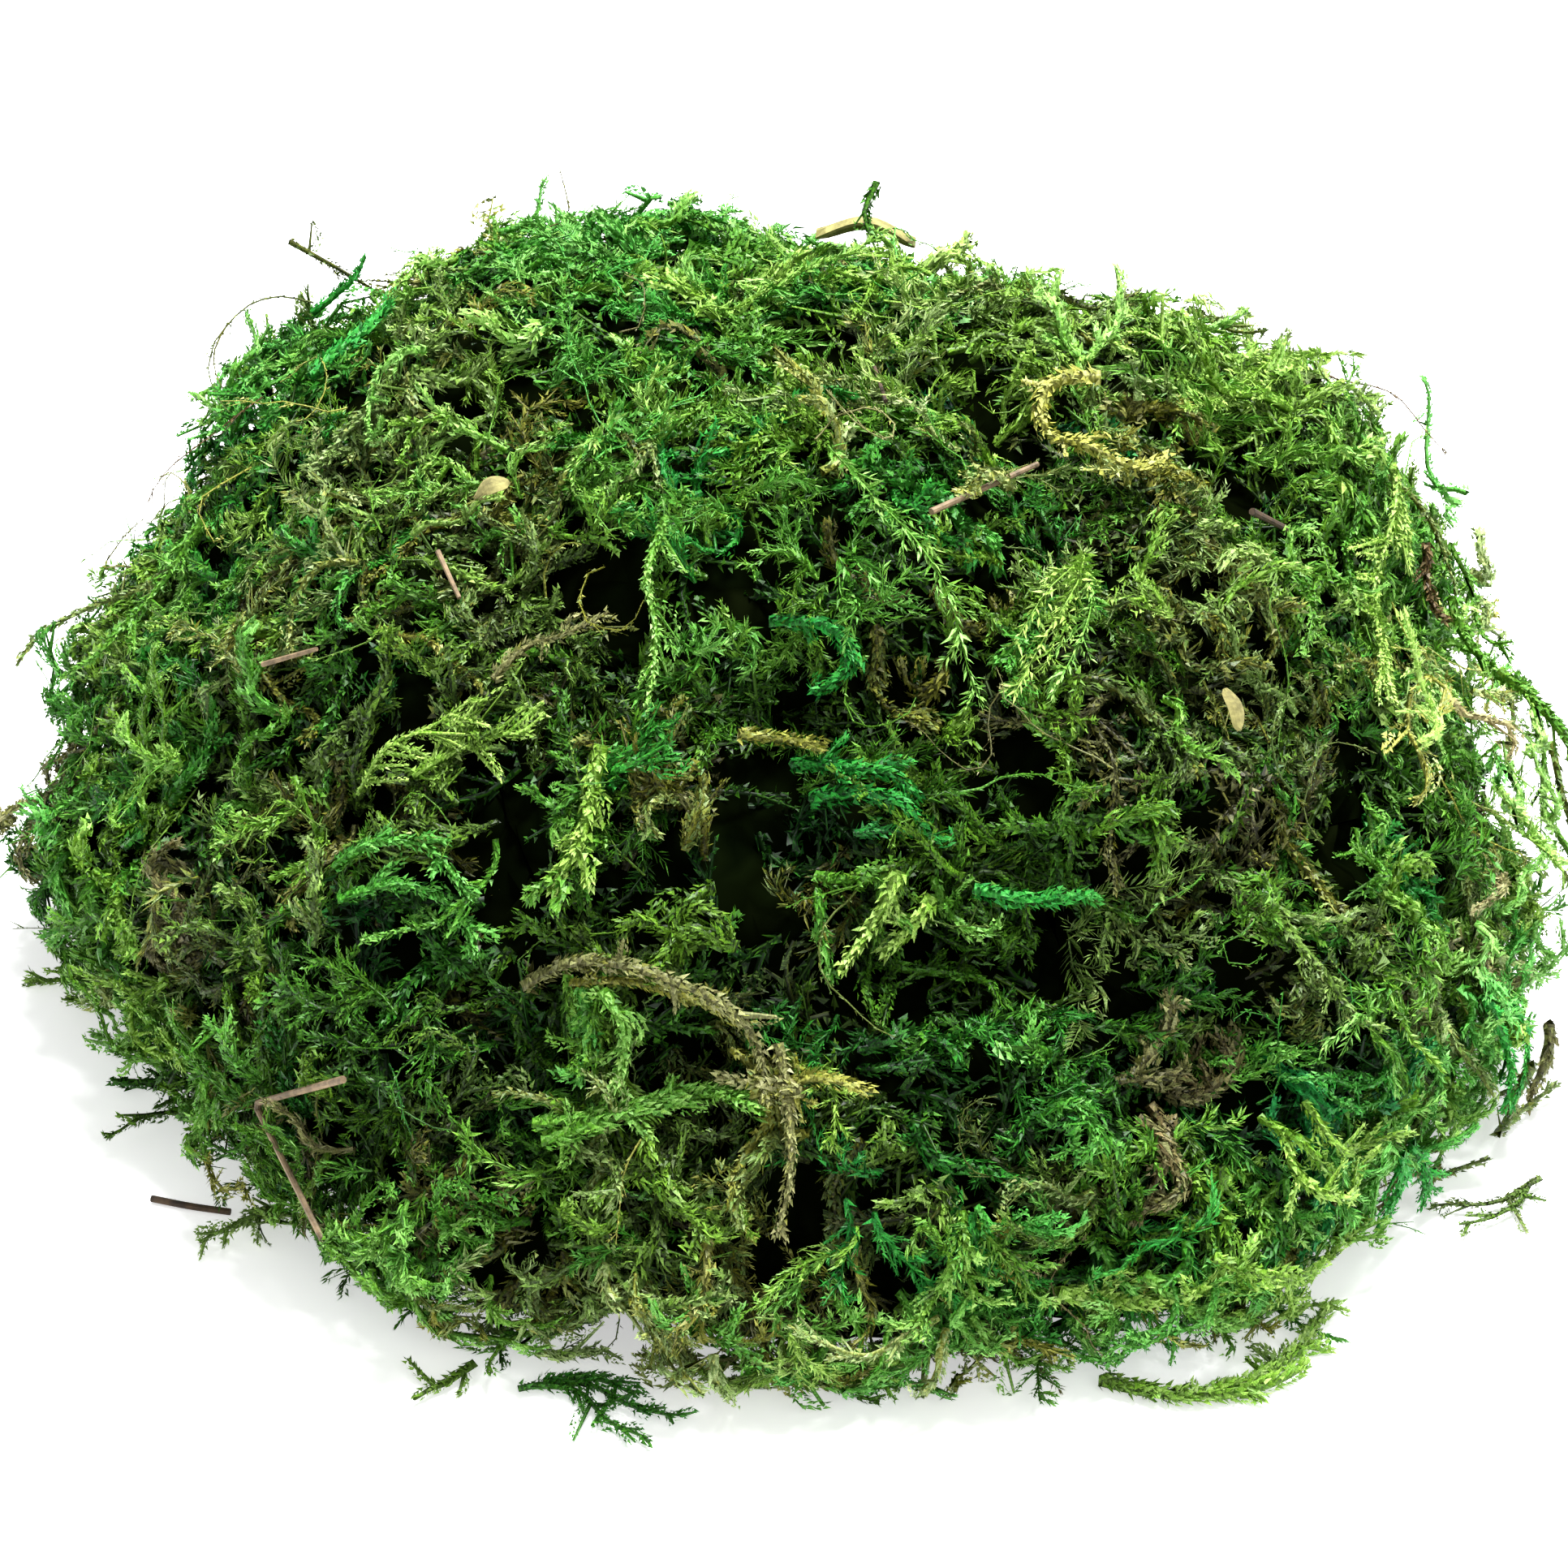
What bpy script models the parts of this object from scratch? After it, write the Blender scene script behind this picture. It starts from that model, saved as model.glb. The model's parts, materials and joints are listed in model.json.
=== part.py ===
"""Moss clump: a loose heap of dried, dyed feather moss, as it is tipped out of a bag.

The heap is an assembly of handfuls of tangled shoots (tufts), each of which runs from the outside
of the heap in to its middle and can be lifted out on its own. Round them lie the loose things that
such a heap holds: dry straws and twigs, papery scraps of leaf, strands that have pulled free, and
sprigs that have fallen at the foot.

Metres, +Z up. The floor is z = 0, and the origin is the middle of the heap's box on the floor.
The heap is seen from -Y.
"""

import math
import random

import bmesh
import bpy
from mathutils import Vector, noise
from mathutils.bvhtree import BVHTree

# Driving dimensions of the heap.
HALF_WIDTH = 0.1280
HALF_DEPTH = 0.1290
DOME_HEIGHT = 0.1120
PROFILE_POWER = 2.25  # 2 is an ellipsoid, and more is boxier in the shoulders
FOOT_TUCK = 0.09  # share by which the foot draws in under the flanks
TUCK_HEIGHT = 0.024

# Tufts: how they bulge, and the air between them.
SEED_DEPTH = 0.70  # a tuft's middle, as a share of the way from the origin to the outside
VALLEY_DEPTH = 0.0065
VALLEY_WIDTH = 0.0115
RISE_REACH = 0.022
RISE_RANGE = 0.0045
LUMP_HEIGHT = 0.0035
LUMP_SIZE = 0.021
GAP = 0.0003
SPHERE_CUTS = 5

# The things that lie on the heap keep this clear of it, past their own radius.
CLEARANCE = 0.0004
LIFT_STEP = 0.0002

# Bars: how finely they are made, and how far they thin to their tips.
ROUTE_STEPS = 4  # points of a smooth route for each point that it is led through
BAR_ROUNDNESS = 2
STALK_TIP = 0.8
STRAND_TIP = 0.6
BEND_SHARE = 0.04  # share of a stalk's length that the rounding of a bend takes on each side
FOOT_ELEVATION = 1.5  # degrees: where the heap's foot is read for what lies beside it

# Rings of tufts from the top down: name, how many, elevation and first azimuth in degrees.
TUFT_RINGS = (
    ("crown_tuft", 3, 66.0, 40.0),
    ("shoulder_tuft", 7, 40.0, 8.0),
    ("flank_tuft", 10, 19.0, -14.0),
    ("foot_tuft", 12, 4.0, 3.0),
)
AZIMUTH_JITTER = 0.17  # share of the spacing round a ring
ELEVATION_JITTER = 3.0

# Broad lobes on the dome: azimuth and elevation in degrees, reach in degrees, height.
LOBES = (
    (24.0, 36.0, 24.0, 0.0075),
    (186.0, 12.0, 20.0, 0.0080),
    (143.0, 44.0, 26.0, 0.0150),
    (50.0, 54.0, 15.0, -0.0060),
    (-20.0, 3.0, 20.0, 0.0110),
    (-36.0, 6.0, 18.0, 0.0040),
    (-66.0, 4.0, 18.0, 0.0080),
    (-106.0, 5.0, 16.0, 0.0040),
    (-150.0, 6.0, 16.0, -0.0060),
    (-90.0, 32.0, 22.0, -0.0040),
)

STRAW = (0.46, 0.33, 0.17)
TWIG = (0.10, 0.07, 0.04)
PAPER = (0.52, 0.43, 0.20)
RING_COLOURS = {
    "crown_tuft": (0.10, 0.27, 0.05),
    "shoulder_tuft": (0.07, 0.22, 0.04),
    "flank_tuft": (0.06, 0.17, 0.03),
    "foot_tuft": (0.08, 0.20, 0.04),
}
SPRIG = (0.11, 0.24, 0.04)


def direction(azimuth, elevation):
    """The unit vector at an azimuth from +X and an elevation from the floor, both in degrees."""
    a, e = math.radians(azimuth), math.radians(elevation)
    return Vector((math.cos(a) * math.cos(e), math.sin(a) * math.cos(e), math.sin(e)))


def dome_radius(way):
    """How far the smooth dome reaches from the origin in the direction of a unit vector."""
    power = PROFILE_POWER
    outward = math.hypot(way.x / HALF_WIDTH, way.y / HALF_DEPTH)
    radius = (outward**power + (abs(way.z) / DOME_HEIGHT) ** power) ** (-1.0 / power)
    low = max(0.0, 1.0 - radius * abs(way.z) / TUCK_HEIGHT)
    radius *= 1.0 - FOOT_TUCK * low * low
    for azimuth, elevation, reach, height in LOBES:
        apart = math.degrees(way.angle(direction(azimuth, elevation)))
        radius += height * math.exp(-((apart / reach) ** 2))
    return radius


def tuft_seeds():
    """(name, middle, rise) of every tuft, ring by ring."""
    dice = random.Random(11)
    seeds = []
    for name, count, elevation, first in TUFT_RINGS:
        for i in range(count):
            azimuth = first + (i + dice.uniform(-AZIMUTH_JITTER, AZIMUTH_JITTER)) * 360.0 / count
            height = max(2.0, elevation + dice.uniform(-ELEVATION_JITTER, ELEVATION_JITTER))
            way = direction(azimuth, height)
            middle = way * dome_radius(way) * SEED_DEPTH
            seeds.append((f"{name}_{i + 1}", middle, dice.uniform(-RISE_RANGE, RISE_RANGE)))
    return seeds


def heap_radius(way, seeds):
    """The dome with each tuft bulging out and a valley where two tufts meet."""
    up = Vector((way.x, way.y, abs(way.z)))
    base = dome_radius(up)
    inner = up * base * SEED_DEPTH
    apart = sorted((inner - middle).length for _, middle, _ in seeds)
    valley = math.exp(-(((apart[1] - apart[0]) / VALLEY_WIDTH) ** 2))
    weights = [math.exp(-(((inner - middle).length / RISE_REACH) ** 2)) for _, middle, _ in seeds]
    rise = sum(w * s[2] for w, s in zip(weights, seeds)) / max(sum(weights), 1e-6)
    lump = noise.noise(up * base / LUMP_SIZE) * LUMP_HEIGHT
    return base + rise + lump - VALLEY_DEPTH * valley


def cut_away(bm, point, away):
    """Cuts off what lies past the plane through point that faces away, and closes the cut."""
    bmesh.ops.bisect_plane(
        bm,
        geom=bm.verts[:] + bm.edges[:] + bm.faces[:],
        dist=1e-7,
        plane_co=point,
        plane_no=away,
        clear_outer=True,
    )
    edges = [e for e in bm.edges if e.is_boundary]
    if edges:
        bmesh.ops.holes_fill(bm, edges=edges, sides=0)


def heap_mesh(seeds):
    """The whole heap as one closed bmesh, cut off flat on the floor."""
    bm = bmesh.new()
    bmesh.ops.create_icosphere(bm, subdivisions=SPHERE_CUTS, radius=1.0)
    for vertex in bm.verts:
        way = vertex.co.normalized()
        vertex.co = way * heap_radius(way, seeds)
    cut_away(bm, Vector(), Vector((0, 0, -1)))
    return bm


def material(name, colour, roughness):
    """A plain matt finish."""
    made = bpy.data.materials.new(name)
    made.use_nodes = True
    shader = made.node_tree.nodes["Principled BSDF"]
    shader.inputs["Base Color"].default_value = (*colour, 1.0)
    shader.inputs["Roughness"].default_value = roughness
    return made


def add_object(name, data, finish, collection):
    """A named object in the heap's collection, with its finish."""
    obj = bpy.data.objects.new(name, data)
    data.materials.append(finish)
    collection.objects.link(obj)
    return obj


def tuft_mesh(whole, middle, others):
    """The share of the heap that is nearer to this tuft's middle than to any other's."""
    bm = whole.copy()
    for other in sorted(others, key=lambda point: (point - middle).length):
        away = (other - middle).normalized()
        cut_away(bm, (middle + other) / 2 - away * GAP / 2, away)
    bmesh.ops.remove_doubles(bm, verts=bm.verts[:], dist=2e-5)
    bmesh.ops.dissolve_degenerate(bm, edges=bm.edges[:], dist=1e-5)
    bmesh.ops.triangulate(bm, faces=bm.faces[:])
    bmesh.ops.recalc_face_normals(bm, faces=bm.faces[:])
    return bm


def make_tufts(whole, seeds, collection):
    """One solid for each tuft."""
    finishes = {ring: material(ring + "_moss", colour, 0.9) for ring, colour in RING_COLOURS.items()}
    for name, middle, _ in seeds:
        bm = tuft_mesh(whole, middle, [s[1] for s in seeds if s[0] != name])
        mesh = bpy.data.meshes.new(name)
        bm.to_mesh(mesh)
        bm.free()
        add_object(name, mesh, finishes[name.rsplit("_", 1)[0]], collection)


class Surface:
    """The outside of the heap, for laying things on it."""

    def __init__(self, whole):
        self.tree = BVHTree.FromBMesh(whole)

    def point(self, azimuth, elevation, lift):
        """The point on the outside in that direction from the origin, raised by lift."""
        way = direction(azimuth, elevation)
        hit = self.tree.ray_cast(way, -way)[0]
        return hit + way * lift

    def clear(self, points, radius):
        """The points moved outwards together, until a round bar through them clears the heap."""
        out = sum(points, Vector()).normalized()
        moved = list(points)
        while min(self.gap(p) for p in dense(moved)) < radius + CLEARANCE:
            moved = [p + out * LIFT_STEP for p in moved]
        return moved

    def gap(self, point):
        """The distance from the outside of the heap, below zero inside it."""
        nearest, normal, _, distance = self.tree.find_nearest(point)
        return distance if (point - nearest).dot(normal) >= 0 else -distance


def dense(points, share=8):
    """The points with share - 1 more between each pair."""
    between = [a.lerp(b, k / share) for a, b in zip(points, points[1:]) for k in range(share)]
    return between + [points[-1]]


def smooth_route(points, count):
    """A smooth line of count points through the given ones (Catmull-Rom)."""
    ends = [points[0] * 2 - points[1], *points, points[-1] * 2 - points[-2]]
    line = []
    for i in range(count):
        at = i * (len(points) - 1) / (count - 1)
        k = min(int(at), len(points) - 2)
        t = at - k
        a, b, c, d = ends[k : k + 4]
        line.append(
            0.5 * (2 * b + (c - a) * t + (2 * a - 5 * b + 4 * c - d) * t**2)
            + 0.5 * (3 * b - a - 3 * c + d) * t**3
        )
    return line


def bar(name, points, radius, finish, collection, tip=1.0):
    """A round bar through the points, thinning to tip times its radius at the far end."""
    curve = bpy.data.curves.new(name, "CURVE")
    curve.dimensions = "3D"
    curve.bevel_depth = radius
    curve.bevel_resolution = BAR_ROUNDNESS
    curve.use_fill_caps = True
    spline = curve.splines.new("POLY")
    spline.points.add(len(points) - 1)
    for i, (place, point) in enumerate(zip(spline.points, points)):
        place.co = (*point, 1.0)
        place.radius = 1.0 + (tip - 1.0) * i / (len(points) - 1)
    return add_object(name, curve, finish, collection)


# Straws and twigs that lie on the heap: name, radius, finish and the directions that they run
# through, each an azimuth and an elevation in degrees.
STALKS = (
    ("bent_straw", 0.00060, "straw", ((-122.8, 19.0), (-132.6, 13.0), (-123.0, 7.5))),
    ("long_straw", 0.00055, "straw", ((-69.0, 63.5), (-42.0, 65.5))),
    ("short_straw_left", 0.00045, "straw", ((-151.0, 40.0), (-145.5, 43.5))),
    ("short_straw_middle", 0.00045, "straw", ((-144.0, 54.5), (-137.0, 52.5))),
    ("dark_twig_top", 0.00035, "twig", ((-58.0, 77.5), (-20.0, 83.5))),
    ("twig_right", 0.00060, "twig", ((-22.0, 52.0), (-14.0, 48.0))),
    ("back_straw", 0.00050, "straw", ((62.0, 33.0), (72.0, 25.0))),
)

# Strands that have pulled free and stand or hang off the heap: name, radius, and the points they
# pass through, each an azimuth, an elevation and a lift off the outside.
STRANDS = (
    (
        "upright_sprig_left",
        0.00050,
        ((143.0, 47.0, 0.0011), (146.0, 47.5, 0.0060), (150.0, 47.0, 0.0150)),
    ),
    (
        "hanging_strand_left",
        0.00040,
        (
            (149.0, 45.5, 0.0012),
            (153.0, 44.0, 0.0068),
            (158.5, 41.0, 0.0062),
            (163.0, 41.0, 0.0044),
            (168.0, 43.0, 0.0016),
        ),
    ),
    (
        "upright_sprig_crown",
        0.00045,
        ((72.0, 70.0, 0.0012), (76.0, 69.0, 0.0055), (74.0, 68.0, 0.0110)),
    ),
    (
        "hanging_strand_right",
        0.00060,
        (
            (-9.0, 30.0, 0.0014),
            (-12.0, 24.0, 0.0040),
            (-15.0, 17.0, 0.0036),
            (-18.0, 11.0, 0.0030),
            (-22.0, 6.5, 0.0016),
        ),
    ),
    (
        "arching_strand_back",
        0.00045,
        ((112.0, 40.0, 0.0012), (104.0, 36.0, 0.0065), (97.0, 30.0, 0.0060), (92.0, 25.0, 0.0016)),
    ),
)

# Sprigs and a twig that have fallen at the foot, each lying on the floor: name, radius, finish, and
# the azimuth in degrees and lift off the foot of the points that they pass through.
FOOT_SPRIGS = (
    (
        "foot_sprig_front_left",
        0.0011,
        "sprig",
        ((-112.3, 0.0018), (-113.0, 0.0075), (-114.4, 0.0130)),
    ),
    (
        "foot_sprig_front",
        0.0012,
        "sprig",
        ((-109.0, 0.0070), (-104.5, 0.0050), (-101.0, 0.0085), (-97.0, 0.0050)),
    ),
    (
        "foot_sprig_front_right",
        0.0016,
        "sprig",
        ((-71.0, 0.0024), (-66.0, 0.0078), (-60.5, 0.0090), (-55.5, 0.0060), (-52.0, 0.0024)),
    ),
    (
        "foot_sprig_right",
        0.0013,
        "sprig",
        ((-39.0, 0.0020), (-36.0, 0.0080), (-31.5, 0.0085)),
    ),
    ("foot_sprig_back", 0.0012, "sprig", ((70.0, 0.0020), (76.0, 0.0075), (82.0, 0.0060))),
    ("foot_twig", 0.00055, "twig", ((-138.0, 0.0010), (-140.5, 0.0052), (-143.0, 0.0100))),
)


def make_stalks(surface, finishes, collection):
    """Straws and twigs, straight between the places where they bend."""
    for name, radius, finish, ways in STALKS:
        points = surface.clear([surface.point(a, e, radius) for a, e in ways], radius)
        # Each bend is rounded over a short corner, as a crushed straw's is.
        corners = [points[0]]
        for before, here, after in zip(points, points[1:], points[2:]):
            corners += [here.lerp(before, BEND_SHARE), here.lerp(after, BEND_SHARE)]
        corners.append(points[-1])
        bar(name, corners, radius, finishes[finish], collection, tip=STALK_TIP)


def make_strands(surface, finishes, collection):
    """Thin strands that touch the heap only near their ends."""
    for name, radius, places in STRANDS:
        points = surface.clear([surface.point(*place) for place in places], radius)
        route = surface.clear(smooth_route(points, ROUTE_STEPS * len(points)), radius)
        bar(name, route, radius, finishes["sprig"], collection, tip=STRAND_TIP)


def make_foot_sprigs(surface, finishes, collection):
    """What has fallen at the foot, resting on the floor for its whole length."""
    for name, radius, finish, places in FOOT_SPRIGS:
        points = []
        for azimuth, lift in places:
            foot = surface.point(azimuth, FOOT_ELEVATION, lift + radius)
            points.append(Vector((foot.x, foot.y, 0.0)))
        route = surface.clear(smooth_route(points, ROUTE_STEPS * len(points)), radius)
        lying = [Vector((p.x, p.y, radius)) for p in route]
        bar(name, lying, radius, finishes[finish], collection)


# Papery scraps: name, azimuth and elevation in degrees, length, width, turn in degrees and curl.
SCRAPS = (
    ("dried_leaf", 79.0, 60.0, 0.0170, 0.0075, 8.0, 0.0016),
    ("small_leaf_scrap", -148.5, 61.0, 0.0058, 0.0038, 70.0, 0.0006),
    ("bud_husk", -48.5, 42.0, 0.0064, 0.0024, 80.0, 0.0005),
)
SCRAP_THICKNESS = 0.0005
SCRAP_CELLS = (10, 4)
OUTLINE_POWERS = (2.4, 0.6)  # the first blunts the leaf's tips, and the second fills out its sides
TIP_WIDTH = 0.04  # half width left at the tips, as a share of the whole width
CURL_ANGLE = 2.5  # radians of the cosine that a scrap follows, from its middle to a tip


def leaf_mesh(length, width, curl):
    """A flat leaf along X with a pointed outline, arched along and across its length."""
    bm = bmesh.new()
    bmesh.ops.create_grid(bm, x_segments=SCRAP_CELLS[0], y_segments=SCRAP_CELLS[1], size=1.0)
    blunt, full = OUTLINE_POWERS
    for vertex in bm.verts:
        along, across = vertex.co.x, vertex.co.y
        half = width / 2 * (1 - abs(along) ** blunt) ** full + width * TIP_WIDTH
        arch = curl * (1 - across * across) + curl * math.cos(along * CURL_ANGLE)
        vertex.co = (along * length / 2, across * half, arch)
    return bm


def make_scraps(surface, finishes, collection):
    """Dried leaf scraps lying on the heap."""
    for name, azimuth, elevation, length, width, turn, curl in SCRAPS:
        bm = leaf_mesh(length, width, curl)
        way = direction(azimuth, elevation)
        along = Vector((0, 0, 1)).cross(way).normalized()
        spin = math.radians(turn)
        side = way.cross(along)
        x_axis = along * math.cos(spin) + side * math.sin(spin)
        y_axis = way.cross(x_axis)
        flat = [(v, v.co.copy()) for v in bm.verts]
        lift = 0.0
        placed = []
        while not placed or min(surface.gap(p) for p in placed) < SCRAP_THICKNESS + CLEARANCE:
            base = surface.point(azimuth, elevation, lift)
            placed = [base + x_axis * c.x + y_axis * c.y + way * c.z for _, c in flat]
            lift += LIFT_STEP
        for (vertex, _), point in zip(flat, placed):
            vertex.co = point
        mesh = bpy.data.meshes.new(name)
        bm.to_mesh(mesh)
        bm.free()
        obj = add_object(name, mesh, finishes["paper"], collection)
        wall = obj.modifiers.new("paper", "SOLIDIFY")
        wall.thickness = SCRAP_THICKNESS
        wall.offset = 0.0


def centre_on_origin(collection):
    """Moves everything together, so that the middle of the whole box stands on the origin."""
    bpy.context.view_layer.update()
    graph = bpy.context.evaluated_depsgraph_get()
    corners = []
    for obj in collection.objects:
        shown = obj.evaluated_get(graph)
        corners += [shown.matrix_world @ v.co for v in shown.to_mesh().vertices]
        shown.to_mesh_clear()
    low = [min(c[k] for c in corners) for k in range(3)]
    high = [max(c[k] for c in corners) for k in range(3)]
    shift = Vector((-(low[0] + high[0]) / 2, -(low[1] + high[1]) / 2, -low[2]))
    for obj in collection.objects:
        obj.location += shift


def main():
    """Builds the heap."""
    for obj in list(bpy.data.objects):
        bpy.data.objects.remove(obj)
    collection = bpy.data.collections.new("moss_clump")
    bpy.context.scene.collection.children.link(collection)
    finishes = {
        "straw": material("dry_straw", STRAW, 0.6),
        "twig": material("dark_twig", TWIG, 0.8),
        "paper": material("dried_leaf_paper", PAPER, 0.8),
        "sprig": material("sprig_moss", SPRIG, 0.9),
    }
    seeds = tuft_seeds()
    whole = heap_mesh(seeds)
    make_tufts(whole, seeds, collection)
    surface = Surface(whole)
    make_stalks(surface, finishes, collection)
    make_strands(surface, finishes, collection)
    make_foot_sprigs(surface, finishes, collection)
    make_scraps(surface, finishes, collection)
    whole.free()
    centre_on_origin(collection)


main()
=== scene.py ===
"""Moss clump: the looks of a loose heap of dried, dyed feather moss.

Every tuft of the heap is a handful of shoots. A shoot is modelled straight, as a stem with its side
shoots and leaves, and is then bent along a line that it lies on, over the outside of the heap. All
leaves and stems of a tuft are joined in one mesh, whose colours come from one chart of moss dyes
and of painted light and shade, over a near-black lining that is painted shade.
"""

import json
import logging
import math
from dataclasses import dataclass, field
from enum import Enum
from functools import lru_cache
from typing import Any, Sequence

import bmesh
import bpy
import numpy as np
from mathutils import Matrix, Vector
from mathutils.bvhtree import BVHTree


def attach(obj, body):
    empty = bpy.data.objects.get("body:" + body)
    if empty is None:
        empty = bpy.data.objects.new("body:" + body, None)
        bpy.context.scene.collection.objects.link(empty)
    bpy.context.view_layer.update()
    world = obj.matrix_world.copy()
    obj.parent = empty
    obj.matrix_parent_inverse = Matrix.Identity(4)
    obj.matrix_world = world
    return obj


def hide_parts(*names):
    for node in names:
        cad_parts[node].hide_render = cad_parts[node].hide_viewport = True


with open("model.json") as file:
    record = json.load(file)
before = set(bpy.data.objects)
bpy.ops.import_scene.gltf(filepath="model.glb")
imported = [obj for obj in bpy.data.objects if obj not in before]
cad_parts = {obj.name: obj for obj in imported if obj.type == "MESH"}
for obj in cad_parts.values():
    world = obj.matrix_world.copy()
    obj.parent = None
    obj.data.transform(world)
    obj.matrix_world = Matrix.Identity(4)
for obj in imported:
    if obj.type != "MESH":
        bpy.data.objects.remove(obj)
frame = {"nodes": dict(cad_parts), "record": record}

LOG = logging.getLogger("moss_clump")
MM = 0.001
CHART_MAP = "OFBake"  # the UV map that holds each point's place on the colour chart
CHART_PER_MM = 0.035  # how far up and down the chart a stem runs in a millimetre
SCALES_PER_MM = 2.8  # how close set the moss's own scales are, which is the grain of its colour and of the painted highlights and shade on them
CHART_MARGIN = 0.005  # nothing has its place closer to the chart's edges
LINING_EDGE = 0.03  # the chart's lower edge up to here is for the near-black lining inside the tufts, painted shade
MOSS_EDGE = 0.04  # the lowest place on the chart that is moss
LOWEST = 0.15 * MM  # nothing lies closer to the floor
STEM_TIP = 0.4  # how thick a stem is at its tip, against its base
STEM_CORNER_HUE = 0.018  # how far apart a stem's corners lie on the chart
Array = np.ndarray


def unit(vectors: Array) -> Array:
    """The vectors at length 1."""
    return vectors / np.maximum(np.linalg.norm(vectors, axis=-1, keepdims=True), 1e-12)


def dot(a: Array, b: Array) -> Array:
    """The dot products of two lists of vectors, kept as a column."""
    return np.sum(a * b, axis=-1, keepdims=True)


def turned(vectors: Array, axes: Array, angles: Array) -> Array:
    """Turns vectors about unit axes at right angles to them.

    Args:
        vectors: One vector a row.
        axes: Its axis, at right angles to it.
        angles: Its angle in radians.

    Returns:
        The turned vectors.
    """
    a = angles[..., None]
    return vectors * np.cos(a) + np.cross(axes, vectors) * np.sin(a)


def ways(azimuths: Array, elevations: Array) -> Array:
    """Unit vectors at azimuths from +X and elevations from the floor, both in degrees."""
    a, e = np.radians(azimuths), np.radians(elevations)
    return np.stack([np.cos(a) * np.cos(e), np.sin(a) * np.cos(e), np.sin(e)], axis=-1)


# ---------------------------------------------------------------------------------------------
# Greenery as arrays of triangles, and the lines that it is bent along
# ---------------------------------------------------------------------------------------------


@dataclass
class Line:
    """A line that a shoot lies along, with the direction that the shoot's upper side faces."""

    points: Array
    normals: Array

    def frames(self, along: Array) -> tuple[Array, Array, Array, Array]:
        """Places and directions at shares of the line's length.

        Args:
            along: Shares from 0 to 1.

        Returns:
            The points, and the directions along the line, across it and out of it.
        """
        steps = np.linalg.norm(np.diff(self.points, axis=0), axis=1)
        reach = np.concatenate([[0.0], np.cumsum(steps)])
        reach /= max(reach[-1], 1e-9)
        heading = unit(np.gradient(self.points, axis=0))
        place = np.stack([np.interp(along, reach, c) for c in self.points.T], axis=1)
        ahead = unit(np.stack([np.interp(along, reach, c) for c in heading.T], axis=1))
        out = np.stack([np.interp(along, reach, c) for c in self.normals.T], axis=1)
        out = unit(out - ahead * dot(out, ahead))
        return place, ahead, np.cross(out, ahead), out


@dataclass
class Spray:
    """Triangles, whose points lie along a stem, across it and out of it, and on the colour chart."""

    points: Array
    faces: Array
    tint: Array

    @staticmethod
    def joined(parts: Sequence["Spray"]) -> "Spray":
        """Joins sprays.

        Args:
            parts: The sprays.

        Returns:
            All of them as one.
        """
        firsts = np.cumsum([0] + [len(p.points) for p in parts[:-1]])
        return Spray(
            np.concatenate([p.points for p in parts]),
            np.concatenate([p.faces + first for p, first in zip(parts, firsts)]),
            np.concatenate([p.tint for p in parts]),
        )

    @staticmethod
    def from_bmesh(bm: bmesh.types.BMesh, hue: float, light: float) -> "Spray":
        """Takes the triangles of a bmesh, and frees it.

        Args:
            bm: The bmesh.
            hue: The hue of all its points on the colour chart.
            light: Their lightness there.

        Returns:
            The triangles.
        """
        bmesh.ops.triangulate(bm, faces=bm.faces[:])
        bm.verts.index_update()
        points = np.array([v.co for v in bm.verts])
        faces = np.array([[v.index for v in f.verts] for f in bm.faces])
        bm.free()
        return Spray(points, faces, np.tile((hue, light), (len(points), 1)))

    def arrayed(self, places: Array, bases: Array, tints: Array) -> "Spray":
        """Copies of this spray.

        Args:
            places: Where each copy's origin goes.
            bases: Each copy's three axes as the columns of a matrix, at the copy's scale.
            tints: What each copy adds to hue and lightness.

        Returns:
            The joined copies.
        """
        count, size = len(places), len(self.points)
        points = np.einsum("nij,pj->npi", bases, self.points) + places[:, None, :]
        faces = self.faces[None] + (np.arange(count) * size)[:, None, None]
        tint = self.tint[None] + tints[:, None, :]
        return Spray(points.reshape(-1, 3), faces.reshape(-1, 3), tint.reshape(-1, 2))

    def bent(self, line: Line, length: float, hue: float = 0.0, light: float = 0.0) -> "Spray":
        """This spray with its stem laid along a line.

        Args:
            line: The line to lie along.
            length: The length of this spray's stem, which the whole line takes.
            hue: Added to the hue.
            light: Added to the lightness.

        Returns:
            The bent spray.
        """
        along = self.points[:, 0] / length
        inside = np.clip(along, 0.0, 1.0)
        place, ahead, across, out = line.frames(inside)
        rest = (along - inside)[:, None] * length
        points = place + ahead * rest + across * self.points[:, 1:2] + out * self.points[:, 2:3]
        return Spray(points, self.faces, self.tint + (hue, light))

    def settle(self) -> None:
        """Keeps the spray over the floor, and on the moss's part of the colour chart."""
        self.points[:, 2] = np.maximum(self.points[:, 2], LOWEST)
        self.tint[:, 1] = np.maximum(self.tint[:, 1], MOSS_EDGE)


# ---------------------------------------------------------------------------------------------
# Leaves, stems and shoots
# ---------------------------------------------------------------------------------------------


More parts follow.
